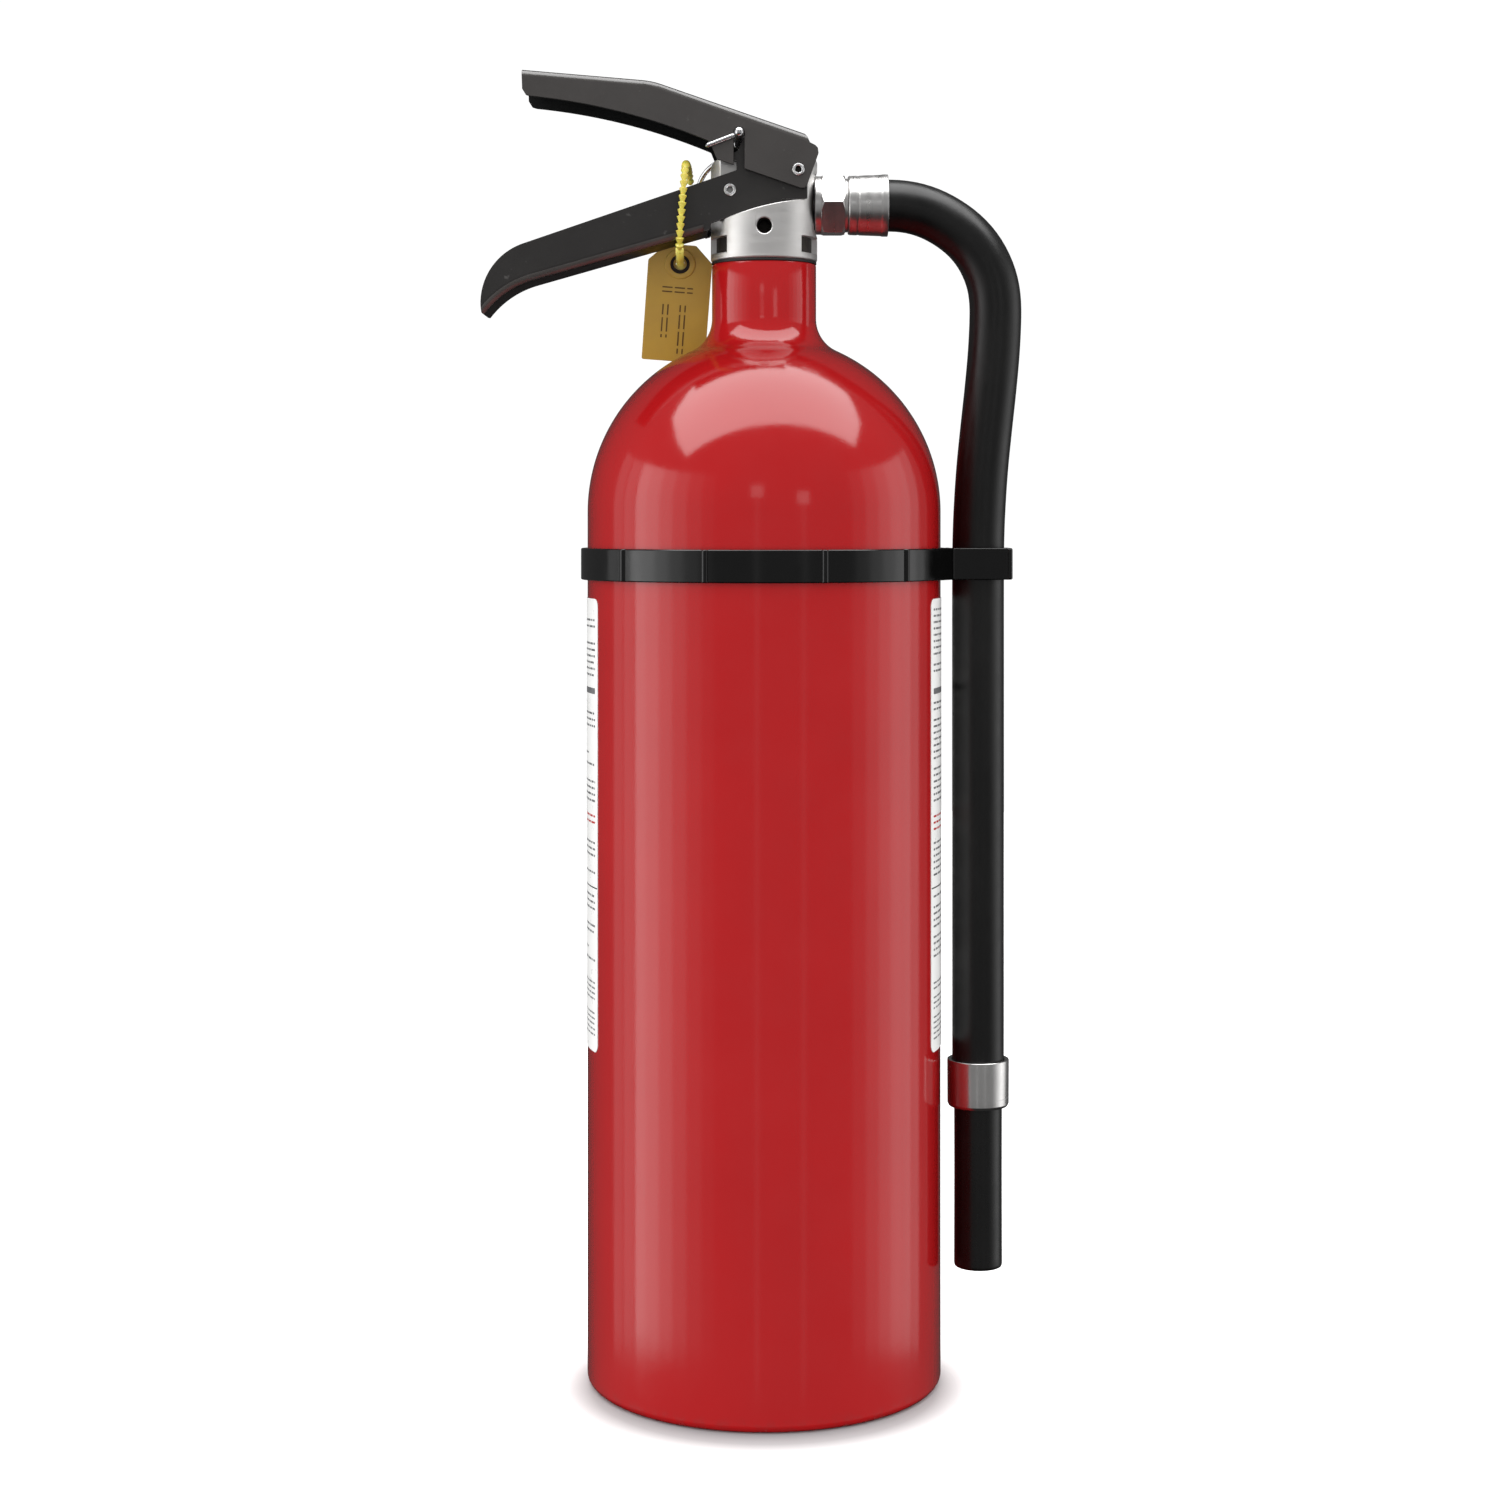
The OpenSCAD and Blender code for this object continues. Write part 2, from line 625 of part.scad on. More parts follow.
module hose() color([0.08, 0.08, 0.08])
    swept_tube([for (p = hose_route) [p[0], 0, p[1]]], hose_r, 12, [0, 1, 0]);

module lower_ferrule() color("gainsboro") translate([hose_x, 0, ferrule_low]) difference() {
    height = ferrule_high - ferrule_low;
    bevel = 1.6;
    union() {
        translate([0, 0, bevel]) cylinder(h = height - bevel, r = ferrule_r);
        cylinder(h = bevel, r1 = ferrule_r - 0.85, r2 = ferrule_r);
    }
    translate([0, 0, 6.8]) cylinder(h = height, r = hose_r + fit);
    translate([0, 0, -1]) cylinder(h = height, r = nozzle_r + fit);
}

// Plain discharge tube with a narrow upper bore
module nozzle() color([0.08, 0.08, 0.08]) translate([hose_x, 0, nozzle_z]) difference() {
    cylinder(h = nozzle_end - nozzle_z, r = nozzle_r);
    translate([0, 0, -1]) cylinder(h = 40, r = nozzle_r - 1.95);
    cylinder(h = 80, r = 3);
}

cylinder_shell();
label();
dry_chemical();
neck_gasket();
hose_band();
valve_body();
siphon_tube();
siphon_adapter();
valve_spring();
valve_stem();
stem_seal();
stem_o_ring();
handle_rivet();
pivot_rivet();
carry_handle();
squeeze_lever();
pin_keeper();
gauge_case();
bourdon_tube();
gauge_dial();
gauge_needle();
gauge_lens();
gauge_bezel();
pull_pin();
pull_ring();
seal_strap();
seal_strap_end();
seal_tag();
coupling_gasket();
hex_coupling();
upper_ferrule();
hose();
lower_ferrule();
nozzle();
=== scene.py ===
# Looks for a hand-held dry chemical fire extinguisher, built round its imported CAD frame.
# Pieces are shaped in millimetres, as in the part's source, and piece() scales them. The stage is in metres.
import random
from math import asin, atan2, ceil, cos, degrees, exp, hypot, pi, radians, sin, sqrt, tan

import bmesh
import bpy
from mathutils import Matrix, Vector

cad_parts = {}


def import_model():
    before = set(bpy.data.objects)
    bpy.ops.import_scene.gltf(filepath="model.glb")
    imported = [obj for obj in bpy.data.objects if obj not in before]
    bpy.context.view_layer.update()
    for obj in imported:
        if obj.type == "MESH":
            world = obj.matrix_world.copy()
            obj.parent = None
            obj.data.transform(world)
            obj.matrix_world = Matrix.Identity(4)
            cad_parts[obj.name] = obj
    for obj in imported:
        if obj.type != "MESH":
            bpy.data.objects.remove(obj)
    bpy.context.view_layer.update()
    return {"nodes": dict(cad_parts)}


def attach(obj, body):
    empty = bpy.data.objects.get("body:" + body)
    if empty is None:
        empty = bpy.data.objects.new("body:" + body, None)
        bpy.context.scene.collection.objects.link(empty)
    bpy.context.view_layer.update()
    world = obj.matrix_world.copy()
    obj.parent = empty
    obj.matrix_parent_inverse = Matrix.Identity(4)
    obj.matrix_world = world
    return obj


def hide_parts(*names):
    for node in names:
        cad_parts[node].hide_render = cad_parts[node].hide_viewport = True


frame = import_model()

MM = 0.001
ROOT, HOSE = "cylinder_assembly", "hose_assembly"

# main sizes of the part, in mm
CYL_R = 54.0
SHOULDER = 264.5
NECK_R = 15.95
NECK_TOP = 340.2
FILLET = 11.0
VALVE_R = 16.3
PIVOT = (10.3, 27.6)
ANCHOR = (-10.4, 21.7)
PIN = (-7.6, 38.8)
EYE = (17.5, 35.4)
RING_R = 13.0
RING_LEAN = 38.0
GAUGE_Z = 10.3
GAUGE_R = 13.0
GAUGE_BACK = 16.25
PORT_Z = 18.2
SHEET = 1.6
HANDLE_W = 22.4
LEVER_W = 26.2
HOSE_X = 65.6
HOSE_R = 7.95
BAND_Z = 248.7
BAND_H = 9.6
HOSE_ROUTE = [(31, 358.4), (37, 358.4), (42, 358.2), (47, 357.3), (52, 355.5), (57, 352.7), (61.5, 349.2),
    (65.2, 345), (68, 340.2), (69.9, 335), (70.8, 329.5), (70.9, 323), (70.4, 313), (69.4, 302), (68.1, 290),
    (66.9, 278), (66.1, 266), (65.7, 255), (65.6, 240), (65.6, 205), (65.6, 165), (65.6, 125), (65.6, 92)]
STRAP_ROUTE = [(-26, 17.2, 0.9), (-26, 14.5, 1.6), (-26, 9, 2), (-25.8, 2, 2.4), (-25.7, -5, 2.9),
    (-25.6, -10.6, 4), (-25.5, -12.9, 7), (-25.2, -13.3, 12), (-24.8, -13.2, 17), (-24.4, -12.9, 22),
    (-24.1, -11.7, 26), (-23.9, -9, 29), (-23.8, -4.5, 30.3), (-23.7, 0, 30.6), (-23.5, 4.5, 30.3),
    (-23.2, 9, 29), (-22.8, 12, 26.4)]
STRAP_END = [(-22.5, 12.7, 25.4), (-21.4, 16, 23), (-19.2, 21.5, 22), (-17.3, 26.3, 21.8), (-18.4, 31, 22.6),
    (-22.2, 32.2, 20.2), (-25.6, 30.2, 14.6), (-26.8, 25.5, 8.4), (-26.5, 21.4, 3.2), (-26.1, 18.4, 0.7)]
TAG_AT = (-26.1, 14.5, 1.8)
TAG_LEAN = 19.0
TAG_TILT = 4.5


def as_object(name, bm):
    mesh = bpy.data.meshes.new(name)
    bm.to_mesh(mesh)
    bm.free()
    obj = bpy.data.objects.new(name, mesh)
    bpy.context.collection.objects.link(obj)
    return obj


# ---- camera and light

def world():
    """The camera sees white; reflections see a dim room; matt surfaces get a soft even light."""
    w = bpy.data.worlds.new("studio")
    bpy.context.scene.world = w
    w.use_nodes = True
    g = Graph(w.node_tree)
    path = g.new("LightPath").outputs
    _, back, up = g.new("SeparateXYZ", (0, g.new("TexCoord").outputs["Generated"])).outputs
    # the room is darker below the object and behind it
    strength = g.ramp(up, -0.6, -0.35, 0.03, 0.24)
    strength = g.times(strength, g.ramp(back, 0.2, 0.9, 1.0, 0.3))
    strength = g.times(strength, g.ramp(path["Is Diffuse Ray"], 0, 1, 1, 6.9))
    dim, bright = [g.new("Background", ("Color", (1, 1, 1, 1)), ("Strength", value)).outputs[0]
        for value in (strength, 1.05)]
    mix = g.new("MixShader", (0, path["Is Camera Ray"]), (1, dim), (2, bright))
    g.new("OutputWorld", (0, mix.outputs[0]))


def area(name, at, aim, size, energy):
    data = bpy.data.lights.new(name, "AREA")
    data.shape = "RECTANGLE"
    data.size, data.size_y = size
    data.energy = energy
    lamp = bpy.data.objects.new(name, data)
    bpy.context.collection.objects.link(lamp)
    lamp.location = at
    lamp.rotation_mode = "QUATERNION"
    lamp.rotation_quaternion = (Vector(aim) - Vector(at)).to_track_quat("-Z", "Y")
    lamp.visible_camera = False
    return lamp


def around(azimuth, distance, height):
    """A place at that angle to the right of the camera's own direction."""
    a = radians(azimuth)
    return (distance * sin(a), -distance * cos(a), height)


def overhead():
    """A large lamp over the object, a little askew, with its back corners cut."""
    h = 1.2
    corners = [(-1.45, -0.89), (1.42, -0.45), (1.12, 0.05), (0.72, 0.36), (0.0, 0.38), (-0.57, 0.33),
        (-1.0, 0.07), (-1.3, -0.45)]
    bm = bmesh.new()
    bm.faces.new([bm.verts.new((h * x, h * y - 0.03, 0.3 + h)) for x, y in reversed(corners)])
    lamp = as_object("overhead_lamp", bm)
    g = Look("overhead_lamp", Base_Color=(0.8, 0.8, 0.8, 1), Emission_Color=(1, 1, 1, 1), Emission_Strength=4.7)
    lamp.data.materials.append(g.material)
    lamp.visible_camera = False
    lamp.visible_diffuse = False


def camera_and_stage():
    cam = bpy.data.objects.new("camera", bpy.data.cameras.new("camera"))
    bpy.context.collection.objects.link(cam)
    cam.data.sensor_width = 36
    cam.data.lens = 64.19
    cam.data.shift_y = -0.1533
    cam.data.clip_start, cam.data.clip_end = 0.01, 50
    cam.location = (-0.0043, -0.82, 0.262)
    cam.rotation_euler = (radians(90), 0, 0)
    bpy.context.scene.camera = cam
    bpy.context.scene.view_settings.view_transform = "Standard"
    world()
    # upright soft boxes on both sides, each as (azimuth, width, radiance)
    boxes = [(-107, 0.26, 0.5), (-96, 0.26, 0.8), (-85, 0.26, 2.4), (-75, 0.26, 2.1), (-65, 0.26, 1.4),
        (-55, 0.26, 0.8), (-45, 0.26, 0.35), (-36, 0.22, 0.12), (62, 0.26, 0.2), (72, 0.26, 0.55),
        (82, 0.26, 0.95), (92, 0.26, 1.3), (102, 0.26, 1.15), (112, 0.26, 0.6)]
    height = 1.35
    for i, (azimuth, width, radiance) in enumerate(boxes):
        area("box_%d" % i, around(azimuth, 1.5, 0.205), (0, 0, 0.205), (width, height),
            radiance * pi * width * height)
    # two small lamps near the camera, each on a pale stand
    for i, (azimuth, up) in enumerate(((-4.6, 0.51), (24.3, 0.43))):
        area("lamp_%d" % i, around(azimuth, 1.1, up), (0, 0, 0.27), (0.15, 0.15), 0.085)
        area("stand_%d" % i, around(azimuth, 1.1, 0.0), (0, 0, 0.0), (0.05, 0.8), 0.03)
    overhead()

    bm = bmesh.new()
    rings, spokes = 24, 96
    middle = bm.verts.new((0, 0, 0))
    last = None
    for i in range(1, rings + 1):
        r = 1.6 * (i / rings) ** 1.6
        row = [bm.verts.new((r * cos(2 * pi * k / spokes), r * sin(2 * pi * k / spokes), 0))
            for k in range(spokes)]
        for k in range(spokes):
            n = (k + 1) % spokes
            bm.faces.new((middle, row[k], row[n]) if last is None else (last[k], row[k], row[n], last[n]))
        last = row
    floor = as_object("floor", bm)
    g = Look("studio_floor", Emission_Color=(1, 1, 1, 1))
    x, y, _ = g.axes()
    # a soft shadow that hugs the base and reaches a little toward the camera
    ahead = g.math("ADD", y, 0.01)
    near = g.math("SQRT", g.math("ADD", g.times(x, x), g.times(ahead, ahead)))
    g.link(g.ramp(near, 0.052, 0.07, 0.0, 0.7), g.inputs["Emission Strength"])
    white = g.mix(g.noise(3), (0.86, 0.86, 0.86), (0.82, 0.82, 0.82))
    g.wear(g.mix(g.ramp(near, 0.044, 0.063), (0.31, 0.315, 0.325), white),
        g.ramp(g.noise(20), 0.3, 0.7, 0.75, 0.85), g.bump(g.noise(120), 0.02))
    floor.data.materials.append(g.material)
    floor.visible_glossy = False
    floor.visible_diffuse = False


# ---- materials

class Graph:
    """Short calls for a node tree. A value is a constant or another node's output."""

    def __init__(self, tree):
        self.tree = tree
        tree.nodes.clear()

    def link(self, a, b):
        self.tree.links.new(a, b)

    def new(self, kind, *inputs):
        """A node, with its inputs given as (socket, value) pairs."""
        node = self.tree.nodes.new("ShaderNode" + kind)
        for socket, value in inputs:
            if hasattr(value, "is_linked"):
                self.link(value, node.inputs[socket])
            else:
                node.inputs[socket].default_value = value
        return node

    def times(self, a, b):
        return self.math("MULTIPLY", a, b)

    def ramp(self, value, *limits):
        """Maps low, high to 0, 1 or to the second pair of limits."""
        return self.new("MapRange", (0, value), *enumerate(limits, 1)).outputs["Result"]

    def math(self, operation, a, b=0.0):
        node = self.new("Math", (0, a), (1, b))
        node.operation = operation
        return node.outputs[0]


class Look(Graph):
    """A material's graph, with its shader, the shader's constants, and object coordinates."""

    def __init__(self, name, **sockets):
        self.material = bpy.data.materials.new(name)
        self.material.use_nodes = True
        super().__init__(self.material.node_tree)
        shader = self.new("BsdfPrincipled")
        self.new("OutputMaterial", (0, shader.outputs[0]))
        self.inputs = shader.inputs
        for socket, value in sockets.items():
            self.inputs[socket.replace("_", " ")].default_value = value
        self.place = self.new("TexCoord").outputs["Object"]

    def wear(self, colour, roughness, normal):
        for socket, value in (("Base Color", colour), ("Roughness", roughness), ("Normal", normal)):
            self.link(value, self.inputs[socket])

    def noise(self, scale, detail=3.0, rough=0.55, stretch=(1, 1, 1), distort=0.0):
        """Noise with features about 1/scale metres long, longer where stretch is small."""
        mapping = self.new("Mapping", (0, self.place), ("Scale", [scale * s for s in stretch]))
        return self.new("TexNoise", ("Vector", mapping.outputs[0]), ("Scale", 1.0), ("Detail", detail),
            ("Roughness", rough), ("Distortion", distort)).outputs["Fac"]

    def mix(self, share, a, b):
        a, b = [(*tone, 1) if isinstance(tone, tuple) else tone for tone in (a, b)]
        node = self.new("Mix", (0, share), (6, a), (7, b))
        node.data_type = "RGBA"
        return node.outputs[2]

    def axes(self):
        return self.new("SeparateXYZ", (0, self.place)).outputs

    def bump(self, height, depth_mm, *under):
        return self.new("Bump", ("Strength", 1.0), ("Distance", depth_mm * MM), ("Height", height),
            *[("Normal", normal) for normal in under]).outputs[0]


def surface(key, name, light, dark, patch, rough, rough_scale, grain, depth, stretch=(1, 1, 1), metal=0.0,
        scratch=0.0, fine=None, extra=None, **sockets):
    """A material that drifts between two tones, with grain and faint scratches."""
    g = Look(name, Metallic=metal, **sockets)
    light, dark = [tone if isinstance(tone, tuple) else (tone, tone, tone) for tone in (light, dark)]
    colour = g.mix(g.ramp(g.noise(patch, 4.0), 0.3, 0.7), light, dark)
    roughness = g.ramp(g.noise(rough_scale, 4.0, stretch=stretch), 0.3, 0.7, *rough)
    if scratch:
        lines = g.noise(260, 2.0, 0.5, (0.1, 0.1, 3.0), 0.4)
        mask = g.times(g.ramp(lines, 0.655, 0.675), g.ramp(g.noise(45, 2.0), 0.5, 0.62))
        roughness = g.math("ADD", roughness, g.times(mask, scratch))
    if extra:
        colour, roughness = extra(g, colour, roughness)
    normal = g.bump(g.noise(grain, stretch=stretch), depth)
    if fine:
        normal = g.bump(g.noise(fine[0], 2.0), fine[1], normal)
    g.wear(colour, roughness, normal)
    M[key] = g.material


def foot_wear(g, colour, roughness):
    """Paint rubbed duller and darker at the ground."""
    low = g.ramp(g.axes()[2], 0.0005, 0.005, 1.0, 0.0)
    rub = g.times(low, g.ramp(g.noise(300, 4.0, 0.6), 0.45, 0.62))
    return g.mix(g.times(rub, 0.35), colour, (0.16, 0.01, 0.01)), g.math("ADD", roughness, g.times(rub, 0.2))


def worn_coat(g, colour, roughness):
    """Small rubbed spots on black coat."""
    rub = g.times(g.ramp(g.noise(320, 5.0, 0.6), 0.66, 0.74), 0.25)
    colour = g.mix(rub, colour, (0.16, 0.155, 0.15))
    return colour, g.math("SUBTRACT", roughness, g.times(rub, 0.3))


def turned(g, colour, roughness):
    """Fine rings left by a lathe about the valve's axis."""
    rings = g.noise(2600, 2.0, stretch=(0.01, 0.01, 1))
    return colour, g.math("ADD", roughness, g.ramp(rings, 0.3, 0.7, -0.05, 0.05))


def aged_plastic(g, colour, roughness):
    smudge = g.ramp(g.noise(90, 4.0, 0.6), 0.5, 0.8, 0.0, 0.35)
    return g.mix(smudge, colour, (0.44, 0.28, 0.05)), g.math("ADD", roughness, g.times(smudge, 0.2))


def brushed_hose(g, colour, roughness):
    """Dusty bloom on rubber, in soft patches along the hose."""
    bloom = g.ramp(g.noise(70, 5.0, 0.6, stretch=(1, 1, 0.35)), 0.45, 0.8, 0.0, 0.35)
    return g.mix(bloom, colour, (0.01, 0.009, 0.008)), g.math("ADD", roughness, g.times(bloom, 0.25))


M = {}


def make_materials():
    # key, name, two tones, their scale, low and high roughness, their scale, grain scale, grain depth in mm
    surface("paint", "red_powder_coat", (0.335, 0.0066, 0.008), (0.315, 0.0058, 0.0072), 28, (0.09, 0.13), 90,
        1250, 0.01, fine=(3200, 0.002), extra=foot_wear, IOR=1.5)
    surface("bare", "turned_aluminium", (0.72, 0.71, 0.7), (0.62, 0.61, 0.6), 120, (0.28, 0.4), 500, 2200, 0.006,
        stretch=(0.03, 0.03, 1), metal=1, extra=turned)
    surface("valve", "valve_aluminium", (0.84, 0.825, 0.81), (0.77, 0.76, 0.745), 90, (0.42, 0.52), 420, 2400,
        0.01, stretch=(0.25, 0.25, 1), metal=1, fine=(5200, 0.004), extra=turned)
    surface("ferrule", "brushed_aluminium", (0.78, 0.77, 0.76), (0.7, 0.69, 0.68), 100, (0.26, 0.34), 500, 3000,
        0.006, stretch=(1, 0.06, 0.06), metal=1, scratch=0.1)
    surface("ferrule_low", "brushed_sleeve", (0.74, 0.73, 0.72), (0.64, 0.63, 0.62), 100, (0.2, 0.28), 500, 3000,
        0.004, stretch=(1, 1, 0.06), metal=1, scratch=0.1)
    sheets = [("black", "black_coated_sheet", (0.043, 0.0385, 0.0365), (0.037, 0.0332, 0.0315)),
              ("black_low", "black_coated_handle", (0.018, 0.0161, 0.0151), (0.015, 0.0134, 0.0127))]
    for row in sheets:
        surface(*row, 70, (0.34, 0.44), 300, 1500, 0.014, fine=(5200, 0.004), extra=worn_coat, IOR=1.5,
            Specular_IOR_Level=0.4)
    # painted shade: a near-black coat for the handles' inner sides and undersides
    surface("inside", "painted_shade_coat", (0.005, 0.0052, 0.0054), (0.0036, 0.0038, 0.004), 70, (0.4, 0.5), 300,
        1500, 0.014, fine=(5200, 0.004), IOR=1.5, Specular_IOR_Level=0.3)
    surface("bend", "rubbed_bend", (0.06, 0.056, 0.053), (0.045, 0.042, 0.04), 90, (0.2, 0.28), 300, 2400, 0.004,
        IOR=1.7)
    surface("bore", "bore_shade", (0.06, 0.052, 0.046), (0.035, 0.03, 0.027), 300, (0.5, 0.6), 600, 2400, 0.008,
        metal=0.6)
    surface("band", "band_plastic", 0.0024, 0.0018, 60, (0.12, 0.18), 240, 1300, 0.002, fine=(4200, 0.0008),
        IOR=1.5)
    surface("rubber", "hose_rubber", (0.0028, 0.0027, 0.0026), (0.002, 0.0019, 0.0019), 50, (0.3, 0.38), 180,
        1100, 0.006, fine=(3600, 0.001), extra=brushed_hose, IOR=1.5, Specular_IOR_Level=0.45)
    surface("nozzle", "nozzle_plastic", (0.005, 0.0049, 0.0048), (0.0036, 0.0035, 0.0034), 70, (0.24, 0.34), 260,
        1500, 0.006, fine=(4200, 0.002), IOR=1.5, Specular_IOR_Level=0.4)
    surface("seal", "gasket_rubber", 0.01, 0.006, 200, (0.5, 0.65), 400, 2500, 0.01)
    surface("rivet", "bright_zinc", 0.88, (0.78, 0.78, 0.79), 500, (0.34, 0.44), 900, 4200, 0.001, metal=1)
    surface("wire", "zinc_wire", (0.8, 0.8, 0.81), (0.68, 0.68, 0.7), 300, (0.22, 0.34), 600, 3600, 0.005,
        metal=1, scratch=0.15)
    surface("chrome", "gauge_plating", (0.84, 0.84, 0.85), (0.76, 0.76, 0.78), 200, (0.1, 0.2), 500, 3000, 0.003,
        metal=1, scratch=0.12)
    surface("brass", "drawn_brass", (0.62, 0.42, 0.16), (0.5, 0.32, 0.11), 300, (0.28, 0.4), 700, 3600, 0.005,
        metal=1)
    surface("steel", "drawn_steel", (0.56, 0.56, 0.57), (0.46, 0.46, 0.47), 300, (0.26, 0.4), 700, 3600, 0.005,
        metal=1)
    surface("dial", "dial_enamel", (0.86, 0.86, 0.84), (0.81, 0.81, 0.79), 300, (0.35, 0.45), 500, 2600, 0.004)
    inks = [("ink_black", (0.02, 0.02, 0.021), (0.03, 0.03, 0.031), 0.4),
            ("ink_grey", (0.11, 0.11, 0.115), (0.17, 0.17, 0.175), 0.4),
            ("ink_red", (0.5, 0.03, 0.028), (0.43, 0.022, 0.022), 0.36),
            ("ink_green", (0.035, 0.26, 0.06), (0.028, 0.21, 0.05), 0.36),
            ("ink_blue", (0.03, 0.09, 0.32), (0.024, 0.07, 0.27), 0.36)]
    for ink, light, dark, rough in inks:
        surface(ink, ink, light, dark, 400, (rough, round(rough + 0.12, 2)), 800, 2600, 0.003)
    surface("vinyl", "label_vinyl", (0.83, 0.83, 0.82), (0.79, 0.79, 0.775), 40, (0.26, 0.36), 160, 1400, 0.004,
        scratch=0.12)
    surface("tag", "tag_plastic", (0.47, 0.305, 0.045), (0.41, 0.262, 0.038), 60, (0.34, 0.48), 240, 900, 0.02,
        fine=(3000, 0.004), extra=aged_plastic)
    surface("tag_ink", "tag_print", (0.085, 0.048, 0.008), (0.12, 0.07, 0.01), 400, (0.45, 0.6), 800, 2600, 0.004)
    surface("strap", "strap_plastic", (0.62, 0.54, 0.085), (0.54, 0.46, 0.065), 160, (0.26, 0.38), 500, 2400,
        0.008, Subsurface_Weight=0.15, Subsurface_Scale=0.001)
    surface("ivory", "moulded_ivory", (0.7, 0.68, 0.58), (0.62, 0.6, 0.5), 150, (0.35, 0.5), 300, 1500, 0.01)
    surface("powder", "dry_powder", (0.8, 0.74, 0.46), (0.7, 0.63, 0.36), 120, (0.85, 0.95), 300, 1200, 0.3)
    g = Look("clear_lens", Base_Color=(0.97, 0.98, 0.98, 1), Transmission_Weight=1.0, IOR=1.49)
    g.link(g.ramp(g.noise(300, 4.0), 0.3, 0.7, 0.02, 0.06), g.inputs["Roughness"])
    g.link(g.bump(g.noise(120, 2.0), 0.002), g.inputs["Normal"])
    M["lens"] = g.material


# ---- mesh helpers

def arc(cx, cy, r, start, end, n):
    """n + 1 points of an arc, angles in degrees."""
    out = []
    for i in range(n + 1):
        a = radians(start + (end - start) * i / n)
        out.append((cx + r * cos(a), cy + r * sin(a)))
    return out


def rounded(points, radius, steps=4):
    """A closed outline with its corners rounded. A point may carry its own radius as a third number."""
    out, n = [], len(points)
    for i in range(n):
        p, a, b = Vector(points[i][:2]), Vector(points[i - 1][:2]), Vector(points[(i + 1) % n][:2])
        r = points[i][2] if len(points[i]) > 2 else radius
        u, v = a - p, b - p
        if r <= 0 or min(u.length, v.length) < 1e-6 or u.angle(v) > radians(176):
            out.append(tuple(p))
            continue
        half = u.angle(v) / 2
        back = min(r / tan(half), 0.45 * u.length, 0.45 * v.length)
        r = back * tan(half)
        u.normalize()
        v.normalize()
        middle = p + (u + v).normalized() * (r / sin(half))
        start, end = p + u * back - middle, p + v * back - middle
        turn = start.angle_signed(end)
        for k in range(steps + 1):
            c, s = cos(-turn * k / steps), sin(-turn * k / steps)
            out.append((middle.x + start.x * c - start.y * s, middle.y + start.x * s + start.y * c))
    return out


def grid(bm, rows, ring=False, loop=True, index=0):
    """Faces between rows of vertices, with the last row joined to the first (ring), and each row closed (loop)."""
    n, m = len(rows), len(rows[0])
    for i in range(n if ring else n - 1):
        for k in range(m if loop else m - 1):
            a, b = rows[i], rows[(i + 1) % n]
            k2 = (k + 1) % m
            quad = []
            for v in (a[k], a[k2], b[k2], b[k]):
                if v not in quad:
                    quad.append(v)
            if len(quad) > 2:
                bm.faces.new(quad).material_index = index


def spoke(bm, section, a):
    return [bm.verts.new((r * cos(a), r * sin(a), z)) for r, z in section]


def lathe(profile, segments=128):
    """Turns a closed outline of (radius, height) about Z."""
    bm = bmesh.new()
    rows = []
    for k in range(segments):
        rows.append(spoke(bm, profile, 2 * pi * k / segments))
    grid(bm, rows, True)
    bmesh.ops.remove_doubles(bm, verts=bm.verts, dist=1e-4)
    bmesh.ops.dissolve_degenerate(bm, edges=bm.edges, dist=1e-5)
    return outward(bm)


def spun(points, radius, steps, segments=128):
    """A lathe shape with its corners rounded."""
    return lathe(rounded(points, radius, steps), segments)


def along_y(bm, x=0.0, y=0.0, z=0.0):
    """Turns a shape made about Z so that its axis points to +Y, and moves it."""
    bm.transform(Matrix.Translation((x, y, z)) @ Matrix.Rotation(radians(-90), 4, "X"))
    return bm


def along_x(bm, x=0.0, y=0.0, z=0.0):
    bm.transform(Matrix.Translation((x, y, z)) @ Matrix.Rotation(radians(90), 4, "Y"))
    return bm


def face_out(bm):
    bmesh.ops.recalc_face_normals(bm, faces=bm.faces)


def outward(bm):
    """Turns every face of a closed shape outward."""
    face_out(bm)
    if bm.calc_volume(signed=True) < 0:
        bmesh.ops.reverse_faces(bm, faces=bm.faces)
    return bm


def moved(bm, x=0.0, y=0.0, z=0.0):
    bm.transform(Matrix.Translation((x, y, z)))
    return bm


def rod(r, low, high, segments=64):
    return lathe([(0, low), (r, low), (r, high), (0, high)], segments)


def prism(outline, low=-20, high=20):
    """An XZ outline made solid from one y to another."""
    bm = bmesh.new()
    a = [bm.verts.new((x, low, z)) for x, z in outline]
    b = [bm.verts.new((x, high, z)) for x, z in outline]
    bm.faces.new(a)
    bm.faces.new(b)
    grid(bm, [a, b])
    return outward(bm)


def slab(outline, low, high):
    """An XY outline made solid from one z to another."""
    bm = prism(outline, low, high)
    for v in bm.verts:
        v.co = (v.co.x, v.co.z, v.co.y)
    return outward(bm)


def combine(first, *steps):
    """Boolean steps on a shape: each is an operation's name and the other shape."""
    obj = as_object("temp", first)
    for operation, other in steps:
        tool = as_object("temp", other)
        mod = obj.modifiers.new("step", "BOOLEAN")
        mod.operation, mod.object, mod.solver = operation, tool, "EXACT"
        dg = bpy.context.evaluated_depsgraph_get()
        mesh = bpy.data.meshes.new_from_object(obj.evaluated_get(dg))
        obj.modifiers.clear()
        old, obj.data = obj.data, mesh
        for done in (old, tool.data):
            bpy.data.meshes.remove(done)
    bm = bmesh.new()
    bm.from_mesh(obj.data)
    bpy.data.meshes.remove(obj.data)
    bmesh.ops.remove_doubles(bm, verts=bm.verts, dist=0.003)
    bmesh.ops.dissolve_limit(bm, angle_limit=radians(0.4), verts=bm.verts, edges=bm.edges)
    return bm


def cut(shape):
    return "DIFFERENCE", shape


